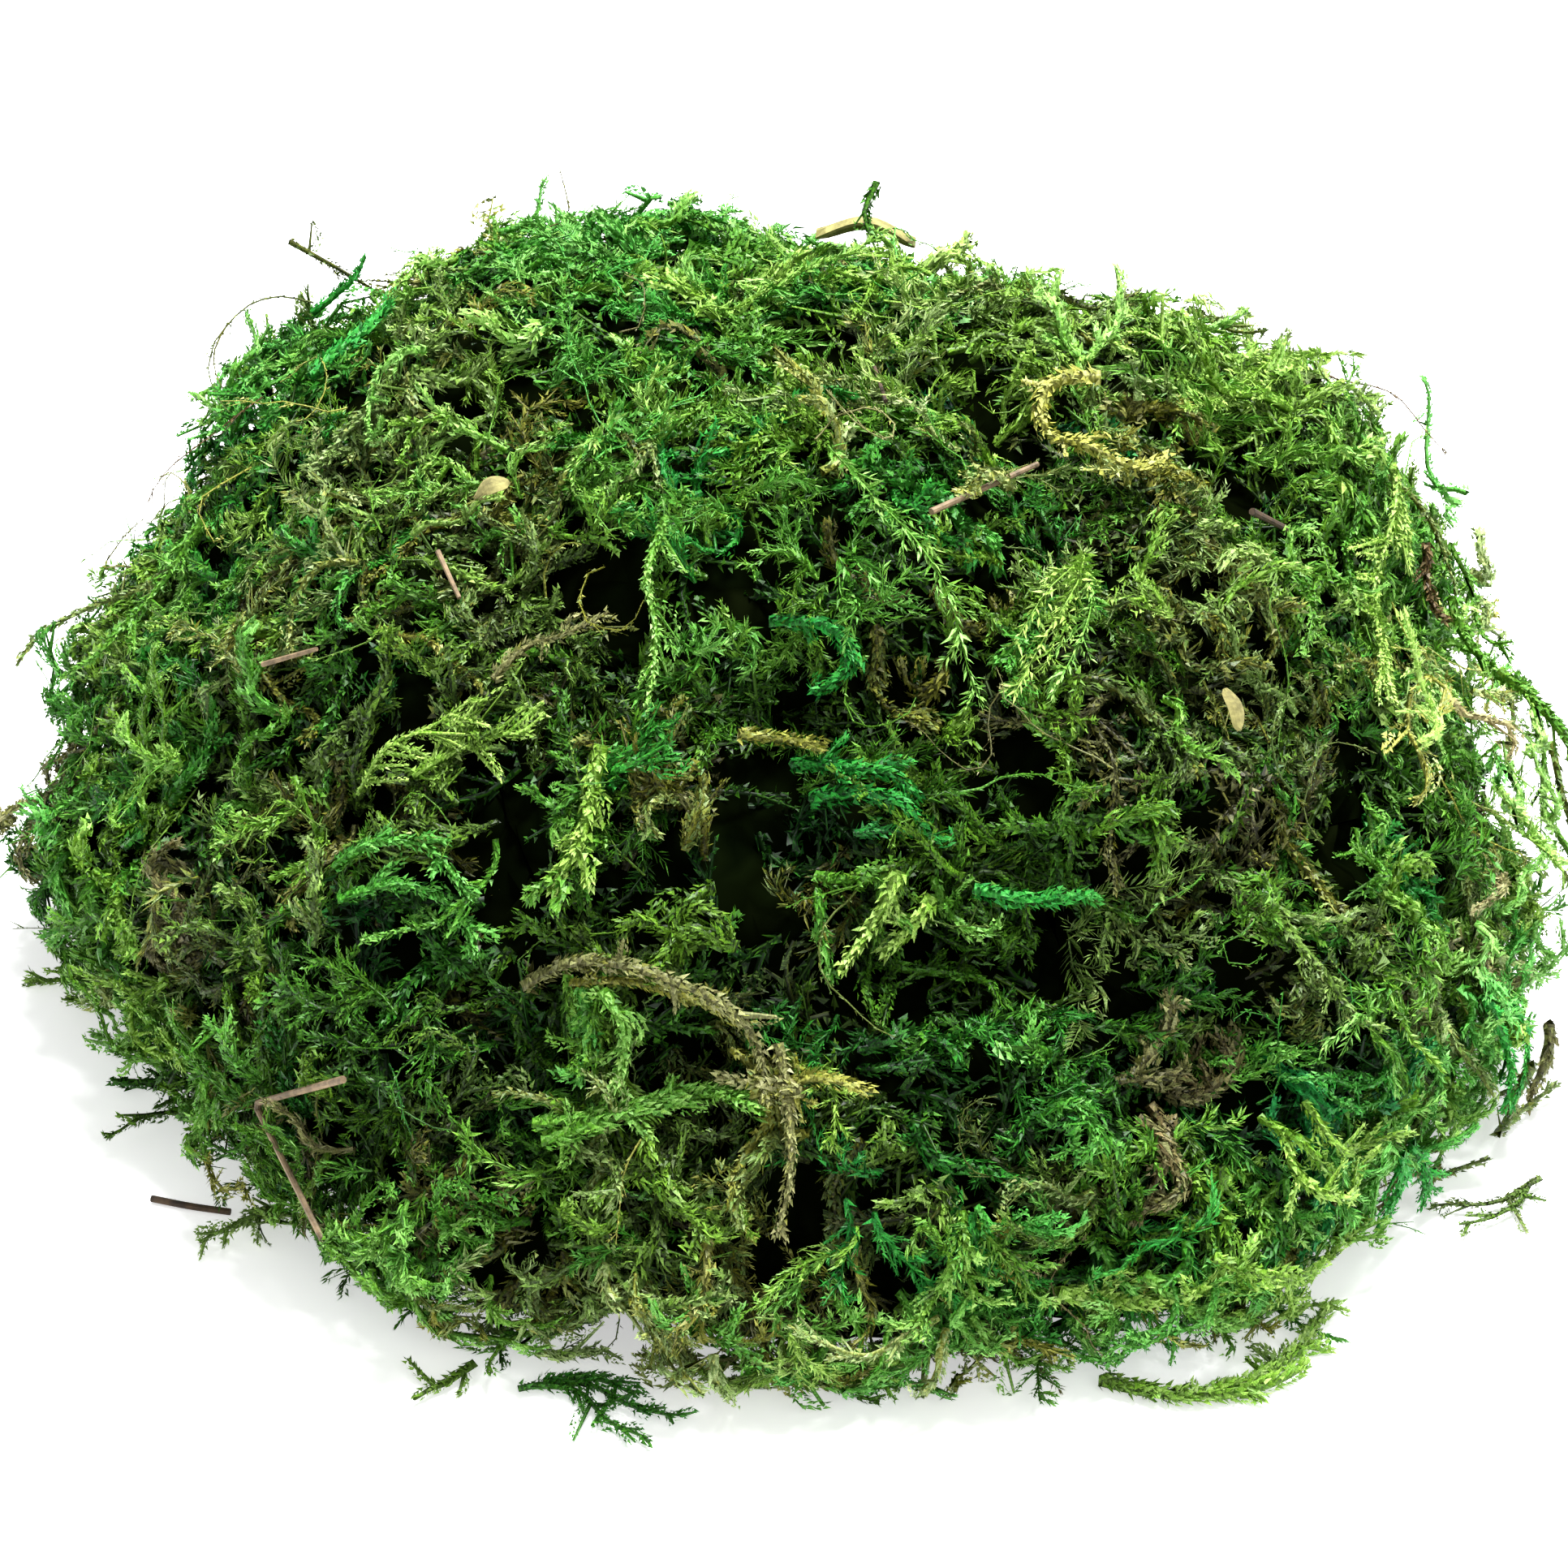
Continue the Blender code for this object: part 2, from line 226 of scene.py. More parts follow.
@dataclass(frozen=True)
class Leaf:
    """One leaf lying along +X from the origin, its upper side facing +Z. Lengths in millimetres."""

    length: float
    width: float
    corners: int = 3  # 3 is a scale, and 4 a blade folded along its midrib
    fold: float = 0.0  # how high its two sides stand over the midrib
    widest: float = 0.0  # where it is widest, as a share of its length
    side_hue: float = 0.03  # how much its two sides differ on the colour chart
    tip_light: float = 0.20  # how much lighter its tip is than its base, which is painted shade where the leaf meets the stem

    def mesh(self) -> Spray:
        """Builds the leaf.

        Returns:
            Its triangles, darker at the base than at the tip: painted shade where the leaf meets the stem.
        """
        bm = bmesh.new()
        bmesh.ops.create_circle(bm, cap_ends=True, segments=self.corners, radius=1.0)
        left, *middle, right = sorted(bm.verts, key=lambda v: v.co.x)
        for side, vertex in ((-0.5, left), (0.5, right)):
            vertex.co = (self.length * self.widest, self.width * side, self.fold)
        ends = (0.0, self.length) if self.corners == 4 else (0.0 if self.widest else self.length,)
        for end, vertex in zip(ends, middle):
            vertex.co = (end, 0.0, self.fold * 0.2)
        if self.corners == 4:
            bmesh.ops.connect_verts(bm, verts=middle)
        bmesh.ops.scale(bm, vec=(MM, MM, MM), verts=bm.verts[:])
        bmesh.ops.recalc_face_normals(bm, faces=bm.faces[:])
        leaf = Spray.from_bmesh(bm, 0.0, 0.0)
        along = leaf.points[:, 0] / (self.length * MM)
        side = leaf.points[:, 1] / (self.width * MM)
        # painted shade: each leaf's base sits darker on the chart, its tip lighter
        leaf.tint = np.stack([side * self.side_hue, self.tip_light * (along - 0.5)], axis=1)
        return leaf


@lru_cache
def plain_stem(rings: int) -> Spray:
    """A three-sided stem along +X, 1 long and 1 in radius.

    Args:
        rings: How many lengths it is divided in, so that it can bend.

    Returns:
        The stem's triangles.
    """
    bm = bmesh.new()
    bmesh.ops.create_cone(bm, cap_ends=False, segments=3, radius1=1.0, radius2=STEM_TIP, depth=1.0)
    if rings > 1:
        sides = [e for e in bm.edges if abs(e.verts[0].co.z - e.verts[1].co.z) > 0.5]
        bmesh.ops.subdivide_edges(bm, edges=sides, cuts=rings - 1, use_grid_fill=True)
    bmesh.ops.translate(bm, vec=(0, 0, 0.5), verts=bm.verts[:])
    bmesh.ops.rotate(bm, matrix=Matrix.Rotation(math.pi / 2, 3, "Y"), verts=bm.verts[:])
    bmesh.ops.recalc_face_normals(bm, faces=bm.faces[:])
    bar = Spray.from_bmesh(bm, 0.0, 0.0)
    # Each ring lies a few grains of the chart's noise from the last, and each corner from the next.
    ring = np.round(bar.points[:, 0] * rings) % 2
    corner = np.round(np.arctan2(bar.points[:, 1], bar.points[:, 2]) / (2 * math.pi) * 3)
    bar.tint = np.stack([corner * STEM_CORNER_HUE, ring - 0.5], axis=1)
    return bar


def stem(length: float, radius: float, rings: int, hue: float, light: float) -> Spray:
    """A stem along +X that thins to its tip.

    Args:
        length: Its length in metres.
        radius: Its radius at the base, in metres.
        rings: How many lengths it is divided in, to bend.
        hue: Its hue on the colour chart, from that of the leaves.
        light: Its lightness there, from that of the leaves.

    Returns:
        The stem's triangles.
    """
    bar = plain_stem(rings)
    grain = (1.0, length / rings / MM * CHART_PER_MM)
    return Spray(bar.points * (length, radius, radius), bar.faces, bar.tint * grain + (hue, light))


@dataclass(frozen=True)
class Foliage:
    """How a stem is leaved. Lengths in millimetres, angles in degrees."""

    leaf: Leaf
    per_mm: float
    tilt: tuple[float, float]
    radius: float
    flat: float = 0.0  # 0 has leaves all round, and 1 only at the two sides
    ragged: float = 0.22
    sector: float = 118.0  # how far round from the upper side there are leaves
    taper: float = 0.35  # how much smaller the shoot gets towards its tip
    turn: float = 0.618  # how far round each leaf stands from the last, as a share of the sector
    sizes: tuple[float, float] = (0.72, 1.25)
    hue_spread: float = 0.02
    light_spread: float = 0.085
    tip_light: float = 0.16  # how much lighter the leaves at the shoot's tip are than at its base

    def shoot(self, length: float, dice: np.random.Generator, scale: float = 1.0) -> Spray:
        """One straight leafy shoot along +X.

        Args:
            length: The stem's length in metres.
            dice: Where chance comes from.
            scale: The size of its leaves and thickness, against the main shoot's.

        Returns:
            Its leaves, with no stem.
        """
        count = max(6, int(length / MM * self.per_mm))
        share = np.clip((np.arange(count) + dice.uniform(-0.5, 0.9, count)) / count, 0.0, 1.0)
        # A shoot lies on others, so its leaves sit on the sector of it that shows.
        spiral = (np.arange(count) * self.turn % 1.0 - 0.5) * 2 * self.sector
        even = np.sign(spiral) * (90.0 + (np.abs(spiral) - 90.0) * (1 - self.flat))
        around = np.radians(even) + dice.normal(0, self.ragged, count)
        tilt = np.radians(dice.uniform(*self.tilt, count)) * (1 - 0.6 * share**4)
        tilt *= 1 + dice.normal(0, self.ragged * 0.5, count)
        slim = (1 - self.taper * share**2) * scale
        size = slim * dice.uniform(*self.sizes, count)
        radial = np.stack([np.zeros(count), np.sin(around), np.cos(around)], axis=1)
        ahead = np.array([[1.0, 0.0, 0.0]])
        main = ahead * np.cos(tilt)[:, None] + radial * np.sin(tilt)[:, None]
        main = unit(main + dice.normal(0, self.ragged * 0.5, (count, 3)))
        side = unit(np.cross(radial, main) + dice.normal(0, self.ragged * 0.9, (count, 3)))
        side = unit(side - main * dot(side, main))
        bases = np.stack([main, side, np.cross(main, side)], axis=2) * size[:, None, None]
        places = ahead * (share * length)[:, None] + radial * (self.radius * MM * slim)[:, None]
        hues = dice.normal(0, self.hue_spread, count)
        lights = dice.normal(0, self.light_spread, count) + self.tip_light * (share - 0.4)
        tints = np.stack([hues, lights], axis=1)
        return self.leaf.mesh().arrayed(places, bases, tints)


ROPY = Foliage(Leaf(1.2, 0.82), per_mm=7.0, tilt=(8.0, 46.0), radius=0.95, ragged=0.42, taper=0.2)
SCALY = Foliage(Leaf(1.05, 0.66), per_mm=5.5, tilt=(10.0, 48.0), radius=0.60, ragged=0.40, taper=0.25)
PLUMY = Foliage(
    Leaf(2.3, 0.56, corners=4, fold=0.10, widest=0.35),
    per_mm=3.2,
    tilt=(20.0, 52.0),
    radius=0.16,
    flat=0.35,
    ragged=0.38,
)
FEATHERY = Foliage(Leaf(1.35, 0.54), per_mm=4.4, tilt=(22.0, 54.0), radius=0.20, flat=0.4, ragged=0.36)
TIDY_BLADES = Foliage(
    Leaf(2.4, 0.50, corners=4, fold=0.07, widest=0.35),
    per_mm=3.2,
    tilt=(42.0, 60.0),
    radius=0.10,
    flat=0.85,
    ragged=0.16,
)
COARSE = Foliage(Leaf(1.7, 1.1), per_mm=1.9, tilt=(20.0, 65.0), radius=0.45, ragged=0.5)
THREADY = Foliage(Leaf(0.7, 0.34), per_mm=1.3, tilt=(20.0, 50.0), radius=0.14, ragged=0.5)


@dataclass(frozen=True)
class Habit:
    """How a shoot branches. Lengths in millimetres, angles in degrees."""

    main: Foliage
    side: Foliage
    length: tuple[float, float]
    side_gap: float  # along the stem, from one side shoot to the next
    side_length: tuple[float, float]
    side_angle: tuple[float, float]
    curl: float = 25.0  # how far a side shoot may bend, either way
    droop: float = 0.25  # how far the side shoots sink out of the frond's plane, as a share
    stem_radius: float = 0.22
    bare: float = 0.08  # share of the stem with no side shoots
    side_scale: float = 0.85
    one_sided: float = 0.2  # chance that a side shoot is on the same side as the last
    ring_gap: float = 2.8  # the length of stem between the places where it can bend
    shortest: float = 1.8  # no side shoot is shorter
    side_steps: int = 5  # the points of a side shoot's curve

    def build(self, dice: np.random.Generator, length: float = 0.0) -> tuple[Spray, float]:
        """One straight shoot with its side shoots.

        Args:
            dice: Where chance comes from.
            length: Its length in metres, or 0 for any usual one.

        Returns:
            The shoot, and its stem's length in metres.
        """
        length = length or dice.uniform(*self.length) * MM
        rings = max(3, int(length / (self.ring_gap * MM)))
        thick = dice.uniform(0.8, 1.2)
        parts = [
            # the stem lies 0.16 darker on the chart than its leaves: painted shade on the core seen between
            # them
            stem(length, self.stem_radius * thick * MM, rings, -0.03, -0.16),
            self.main.shoot(length, dice, thick),
        ]
        count = int(length / MM * (1 - self.bare) / self.side_gap)
        hand = dice.choice((-1, 1))
        for i in range(count):
            share = self.bare + (1 - self.bare) * (i + dice.uniform(-0.4, 0.4) + 0.5) / count
            if dice.uniform() > self.one_sided:
                hand = -hand
            parts.append(self.side_shoot(length, min(share, 1.0), hand, dice))
        return Spray.joined(parts), length

    def side_shoot(
        self, length: float, share: float, hand: int, dice: np.random.Generator
    ) -> Spray:
        """A side shoot in its place on the straight stem.

        Args:
            length: The stem's length in metres.
            share: Where it leaves the stem, as a share of that length.
            hand: 1 for the left of the stem and -1 for the right.
            dice: Where chance comes from.

        Returns:
            The side shoot.
        """
        outline = min(1.0, math.sin(math.pi * min(1.0, 0.20 + 0.80 * share)) ** 0.6 + 0.15)
        reach = max(dice.uniform(*self.side_length) * outline, self.shortest) * MM
        angle = math.radians(dice.uniform(*self.side_angle))
        bend = math.radians(self.curl) * dice.normal(0.6, 1.0)
        steps = np.linspace(0, 1, self.side_steps)
        turn = angle - bend * steps
        sink = -self.droop * dice.uniform(-0.8, 1.6) * steps
        ahead = unit(np.stack([np.cos(turn), hand * np.sin(turn), sink], axis=1))
        pace = ahead * reach / (self.side_steps - 1)
        start = np.array([share * length, 0.0, 0.0])
        points = start + np.concatenate([np.zeros((1, 3)), np.cumsum(pace[:-1], axis=0)])
        up = np.tile((0.0, dice.normal(0, 0.4), 1.0), (len(steps), 1))
        whole = Spray.joined(
            [
                # the side stem lies 0.14 darker on the chart than its leaves: painted shade on the core seen
                # between them
                stem(reach, self.stem_radius * 0.7 * MM, 1, -0.02, -0.14),
                self.side.shoot(reach, dice, self.side_scale * dice.uniform(0.85, 1.2)),
            ]
        )
        return whole.bent(Line(points, up), reach, dice.normal(0, 0.015), dice.normal(0.02, 0.05))


class Kind(Enum):
    """The kinds of moss shoot in the heap."""

    ROPE = "rope"
    SCALY_FROND = "scaly_frond"
    CORD = "cord"
    PLUME = "plume"
    FINE_FROND = "fine_frond"
    TIDY_FEATHER = "tidy_feather"
    CRINKLE = "crinkle"
    COMB = "comb"
    BARE_CORD = "bare_cord"
    THREAD = "thread"
    UNDERGROWTH = "undergrowth"


HABITS: dict[Kind, Habit] = {
    Kind.ROPE: Habit(
        ROPY, ROPY, (10, 22), 4.2, (2.5, 7.5), (20, 70), stem_radius=1.05, droop=0.8, curl=85.0
    ),
    Kind.SCALY_FROND: Habit(
        SCALY, SCALY, (10, 20), 2.2, (3.0, 7.5), (30, 68), stem_radius=0.66, curl=70.0, droop=0.5
    ),
    Kind.CORD: Habit(
        SCALY, SCALY, (14, 28), 4.6, (3.0, 8.5), (30, 80), stem_radius=0.70, droop=1.0, curl=105.0
    ),
    Kind.PLUME: Habit(
        PLUMY, PLUMY, (10, 18), 4.0, (4.0, 8.0), (20, 48), stem_radius=0.24, droop=0.5, curl=40.0
    ),
    Kind.FINE_FROND: Habit(
        FEATHERY, FEATHERY, (10, 22), 1.7, (3.0, 6.0), (40, 66), stem_radius=0.30, bare=0.12, curl=48.0
    ),
    Kind.TIDY_FEATHER: Habit(
        TIDY_BLADES, TIDY_BLADES, (12, 20), 6.0, (5.0, 9.0), (28, 45), stem_radius=0.18, curl=40.0
    ),
    Kind.CRINKLE: Habit(
        SCALY, SCALY, (8, 18), 2.4, (2.5, 7.0), (30, 90), curl=150.0, droop=1.6, stem_radius=0.60
    ),
    Kind.COMB: Habit(
        SCALY, SCALY, (14, 24), 2.3, (6.0, 12.0), (42, 60), stem_radius=0.66, curl=24.0, one_sided=0.93
    ),
    Kind.BARE_CORD: Habit(
        ROPY, SCALY, (14, 30), 9.0, (3.0, 7.0), (30, 70), stem_radius=1.0, curl=60.0
    ),
    Kind.THREAD: Habit(
        THREADY, THREADY, (12, 30), 7.0, (2.0, 6.0), (20, 60), stem_radius=0.20, curl=110.0, droop=0.8
    ),
    Kind.UNDERGROWTH: Habit(
        COARSE, COARSE, (14, 26), 3.2, (4.0, 9.0), (30, 75), stem_radius=0.6, droop=0.8, curl=60.0
    ),
}


# ---------------------------------------------------------------------------------------------
# The outside of the heap
# ---------------------------------------------------------------------------------------------


@dataclass(frozen=True)
class Pit:
    """A dark hollow in the heap: where it is, and its half width, in degrees, and depth in mm."""

    azimuth: float
    elevation: float
    across: float
    depth: float


PITS: tuple[Pit, ...] = (
    Pit(-122.0, 28.0, 5.5, 8.0),
    Pit(-93.0, 43.0, 5.5, 7.0),
    Pit(-78.0, 30.0, 5.5, 9.0),
    Pit(-68.0, 31.0, 5.0, 8.0),
    Pit(-74.0, 52.0, 5.0, 6.0),
    Pit(-92.0, 55.0, 5.0, 6.0),
    Pit(-97.0, 24.0, 4.5, 7.0),
    Pit(-112.0, 23.0, 4.5, 7.0),
    Pit(-42.0, 44.0, 5.0, 6.0),
    Pit(-138.0, 32.0, 5.0, 6.0),
    Pit(-55.0, 20.0, 5.0, 7.0),
    # The whole right side is looser, and lies back behind strands that hang free of it.
    Pit(-4.0, 14.0, 20.0, 12.0),
    Pit(-28.0, 4.0, 12.0, 7.0),
    # A negative depth is a bulge: the square right shoulder, and the left one.
    Pit(20.0, 45.0, 14.0, -6.0),
    Pit(150.0, 50.0, 12.0, -3.0),
    Pit(95.0, 56.0, 14.0, 3.5),
)


@dataclass
class Heap:
    """The outside of the heap, as the solid tufts give it, read by direction from the middle."""

    tufts: list[str]
    rows: int = 90
    columns: int = 360
    smoothing: int = 2
    floor: float = 0.8 * MM  # the lowest that a stem lies
    spread_below: float = 3.5 * MM  # below this, a shoot spreads over the floor
    hollows: int = 70  # small ones, by chance
    hollow_width: tuple[float, float] = (2.5, 5.0)  # degrees
    hollow_depth: tuple[float, float] = (2.5, 5.5)  # millimetres
    seed: int = 11
    foot_sink: float = 5.0 * MM
    foot_height: float = 9.0  # degrees
    outward_pull: float = 0.35  # how fast a shoot on the floor turns away from the heap
    feeler: float = 0.035  # how far round from a point its slope is felt, in radians
    reach: Array = field(init=False)
    owner: Array = field(init=False)

    def __post_init__(self) -> None:
        """Reads the distance of the outside in every direction, and whose tuft is there."""
        points: list[Vector] = []
        polygons: list[list[int]] = []
        owners: list[int] = []
        for k, name in enumerate(self.tufts):
            mesh = frame["nodes"][name].data
            first = len(points)
            points += [v.co.copy() for v in mesh.vertices]
            polygons += [[first + i for i in p.vertices] for p in mesh.polygons]
            owners += [k] * len(mesh.polygons)
        tree = BVHTree.FromPolygons(points, polygons)
        self.reach = np.zeros((self.rows + 1, self.columns))
        self.owner = np.zeros((self.rows + 1, self.columns), int)
        elevations = np.linspace(0.4, 90.0, self.rows + 1)
        for r, elevation in enumerate(elevations):
            for c in range(self.columns):
                way = Vector(ways(np.array(c * 360.0 / self.columns), np.array(elevation)))
                hit, _, index, _ = tree.ray_cast(way, -way)
                self.reach[r, c] = hit.length
                self.owner[r, c] = owners[index]
        for _ in range(self.smoothing):
            wide = np.stack([np.roll(self.reach, s, axis=1) for s in (-2, -1, 0, 1, 2)])
            self.reach = np.median(wide, axis=0) * 0.5 + wide.mean(axis=0) * 0.5
            above = np.vstack([self.reach[1:], self.reach[-1:]])
            below = np.vstack([self.reach[:1], self.reach[:-1]])
            self.reach = self.reach * 0.5 + (above + below) * 0.25
        self.sink_hollows(np.random.default_rng(self.seed))

    def sink_hollows(self, dice: np.random.Generator) -> None:
        """Sinks the dark hollows that the loose tufts leave between them.

        Args:
            dice: Where chance comes from.
        """
        chosen = np.array([(p.azimuth, p.elevation, p.across, p.depth) for p in PITS])
        azimuths = dice.uniform(0, 360, self.hollows)
        heights = np.degrees(np.arcsin(dice.uniform(0.08, 0.92, self.hollows)))
        across = dice.uniform(*self.hollow_width, self.hollows)
        depths = dice.uniform(*self.hollow_depth, self.hollows)
        strewn = np.stack([azimuths, heights, across, depths], axis=1)
        elevation = np.linspace(0.0, 90.0, self.rows + 1)[:, None]
        azimuth = np.arange(self.columns)[None] * 360.0 / self.columns
        chart = ways(azimuth + elevation * 0, elevation + azimuth * 0)
        # Shoots that spread over the floor take the place of the solids' outermost edge.
        self.reach -= self.foot_sink * np.exp(-((elevation / self.foot_height) ** 2))
        for a, e, width, depth in np.concatenate([chosen, strewn]):
            apart = np.degrees(np.arccos(np.clip(chart @ ways(a, e), -1, 1)))
            self.reach -= depth * MM * np.exp(-((apart / width) ** 2))

    def cell(self, way: Array) -> tuple[Array, Array]:
        """Finds directions on the grid of distances.

        Args:
            way: Unit vectors from the middle.

        Returns:
            Their rows and columns, with fractions.
        """
        azimuth = np.degrees(np.arctan2(way[..., 1], way[..., 0])) % 360.0
        elevation = np.degrees(np.arcsin(np.clip(way[..., 2], 0.0, 1.0)))
        return elevation / 90.0 * self.rows, azimuth / 360.0 * self.columns

    def radius(self, way: Array) -> Array:
        """How far the outside is from the middle.

        Args:
            way: Unit vectors from the middle.

        Returns:
            The distance in each direction, in metres.
        """
        row, column = self.cell(way)
        r0 = np.clip(row.astype(int), 0, self.rows - 1)
        c0 = column.astype(int) % self.columns
        c1 = (c0 + 1) % self.columns
        fr, fc = row - r0, column - np.floor(column)
        low = self.reach[r0, c0] * (1 - fc) + self.reach[r0, c1] * fc
        high = self.reach[r0 + 1, c0] * (1 - fc) + self.reach[r0 + 1, c1] * fc
        return low * (1 - fr) + high * fr

    def owner_of(self, way: Array) -> Array:
        """Which tuft lies in the directions of unit vectors."""
        row, column = self.cell(way)
        return self.owner[np.round(row).astype(int), column.astype(int) % self.columns]

    def normals(self, points: Array) -> Array:
        """The way that the heap's outside faces.

        Args:
            points: Points near it, in metres from the middle.

        Returns:
            A unit vector for each point, outward.
        """
        way = unit(points)
        steep = np.abs(way[:, 2:3]) > 0.9
        aside = unit(np.cross(way, np.where(steep, (1.0, 0.0, 0.0), (0.0, 0.0, 1.0))))
        up = np.cross(aside, way)
        spots = [unit(way + self.feeler * d) for d in (aside, -aside, up, -up)]
        right, left, top, bottom = [s * self.radius(s)[:, None] for s in spots]
        out = unit(np.cross(right - left, top - bottom))
        return out * np.sign(dot(out, way))

    def draped(
        self, starts: Array, headings: Array, lengths: Array, lifts: Array, turns: Array
    ) -> list[Line]:
        """Lines that lie over the heap.

        Args:
            starts: The direction of each line's first point from the middle.
            headings: The way it sets off.
            lengths: Its length.
            lifts: Its height over the outside at each step, one row a line.
            turns: How far it turns to the left at each step, in radians, one row a line.

        Returns:
            The lines.
        """
        place = starts * (self.radius(starts) + lifts[:, 0])[:, None]
        steps = lifts.shape[1]
        pace = (lengths / (steps - 1))[:, None]
        heading, route = headings, [place]
        for k in range(1, steps):
            low = place[:, 2:3] < self.spread_below
            out = np.where(low, (0.0, 0.0, 1.0), self.normals(place))
            away = unit(place * (1.0, 1.0, 0.0)) * self.outward_pull
            heading = np.where(low, heading + away, heading)
            heading = unit(heading - out * dot(heading, out))
            heading = turned(heading, out, turns[:, k])
            ahead = place + heading * pace
            way = unit(np.maximum(ahead, (-1e9, -1e9, 0.0)))
            laid = way * (self.radius(way) + lifts[:, k])[:, None]
            place = np.where((ahead[:, 2] < self.spread_below)[:, None], ahead, laid)
            place[:, 2] = np.maximum(place[:, 2], self.floor)
            route.append(place)
        points = np.stack(route, axis=1)
        ups = np.stack([self.normals(p) for p in route], axis=1)
        return [Line(p, u) for p, u in zip(points, ups)]


# ---------------------------------------------------------------------------------------------
# Colours
# ---------------------------------------------------------------------------------------------


def linear(code: str) -> tuple[float, float, float, float]:
    """Turns an sRGB colour linear.

    Args:
        code: Its hex value, such as 5c8a2e.

    Returns:
        Its linear red, green, blue and alpha.
    """
    parts = [int(code[i : i + 2], 16) / 255 for i in (0, 2, 4)]
    red, green, blue = [c / 12.92 if c <= 0.04045 else ((c + 0.055) / 1.055) ** 2.4 for c in parts]
    return red, green, blue, 1.0


def paint_stops(band: bpy.types.ColorRamp, stops: dict[float, str]) -> None:
    """Puts sRGB hex values at their places along a colour band.

    Args:
        band: The colour band.
        stops: The values by place, from 0 to 1.
    """
    while len(band.elements) > 1:
        band.elements.remove(band.elements[-1])
    first, *rest = sorted(stops)
    band.elements[0].position, band.elements[0].color = first, linear(stops[first])
    for place in rest:
        band.elements.new(place).color = linear(stops[place])


def node(
    tree: bpy.types.NodeTree,
    kind: str,
    settings: dict[Any, Any] | None = None,
    links: dict[Any, bpy.types.NodeSocket] | None = None,
) -> bpy.types.Node:
    """Adds a node.

    Args:
        tree: The material's node tree.
        kind: The node's type.
        settings: Its attributes by name, its sockets' values by name or number, and a colour band's
            stops.
        links: The socket that feeds each input, by its name or number.

    Returns:
        The node.
    """
    made = tree.nodes.new(kind)
    for name, value in (settings or {}).items():
        if name == "stops":
            paint_stops(made.color_ramp, value)
        elif isinstance(name, str) and hasattr(made, name):
            setattr(made, name, value)
        else:
            made.inputs[name].default_value = value
    for name, socket in (links or {}).items():
        tree.links.new(socket, made.inputs[name])
    return made


class Hue(float, Enum):
    """Where each dye or state of the moss stands across the colour chart."""

    BROWN = 0.06
    KHAKI = 0.18
    MUSTARD = 0.25
    OLIVE = 0.32
    YELLOW = 0.44
    LEAF = 0.56
    GRASS = 0.68
    EMERALD = 0.81
    TEAL = 0.94


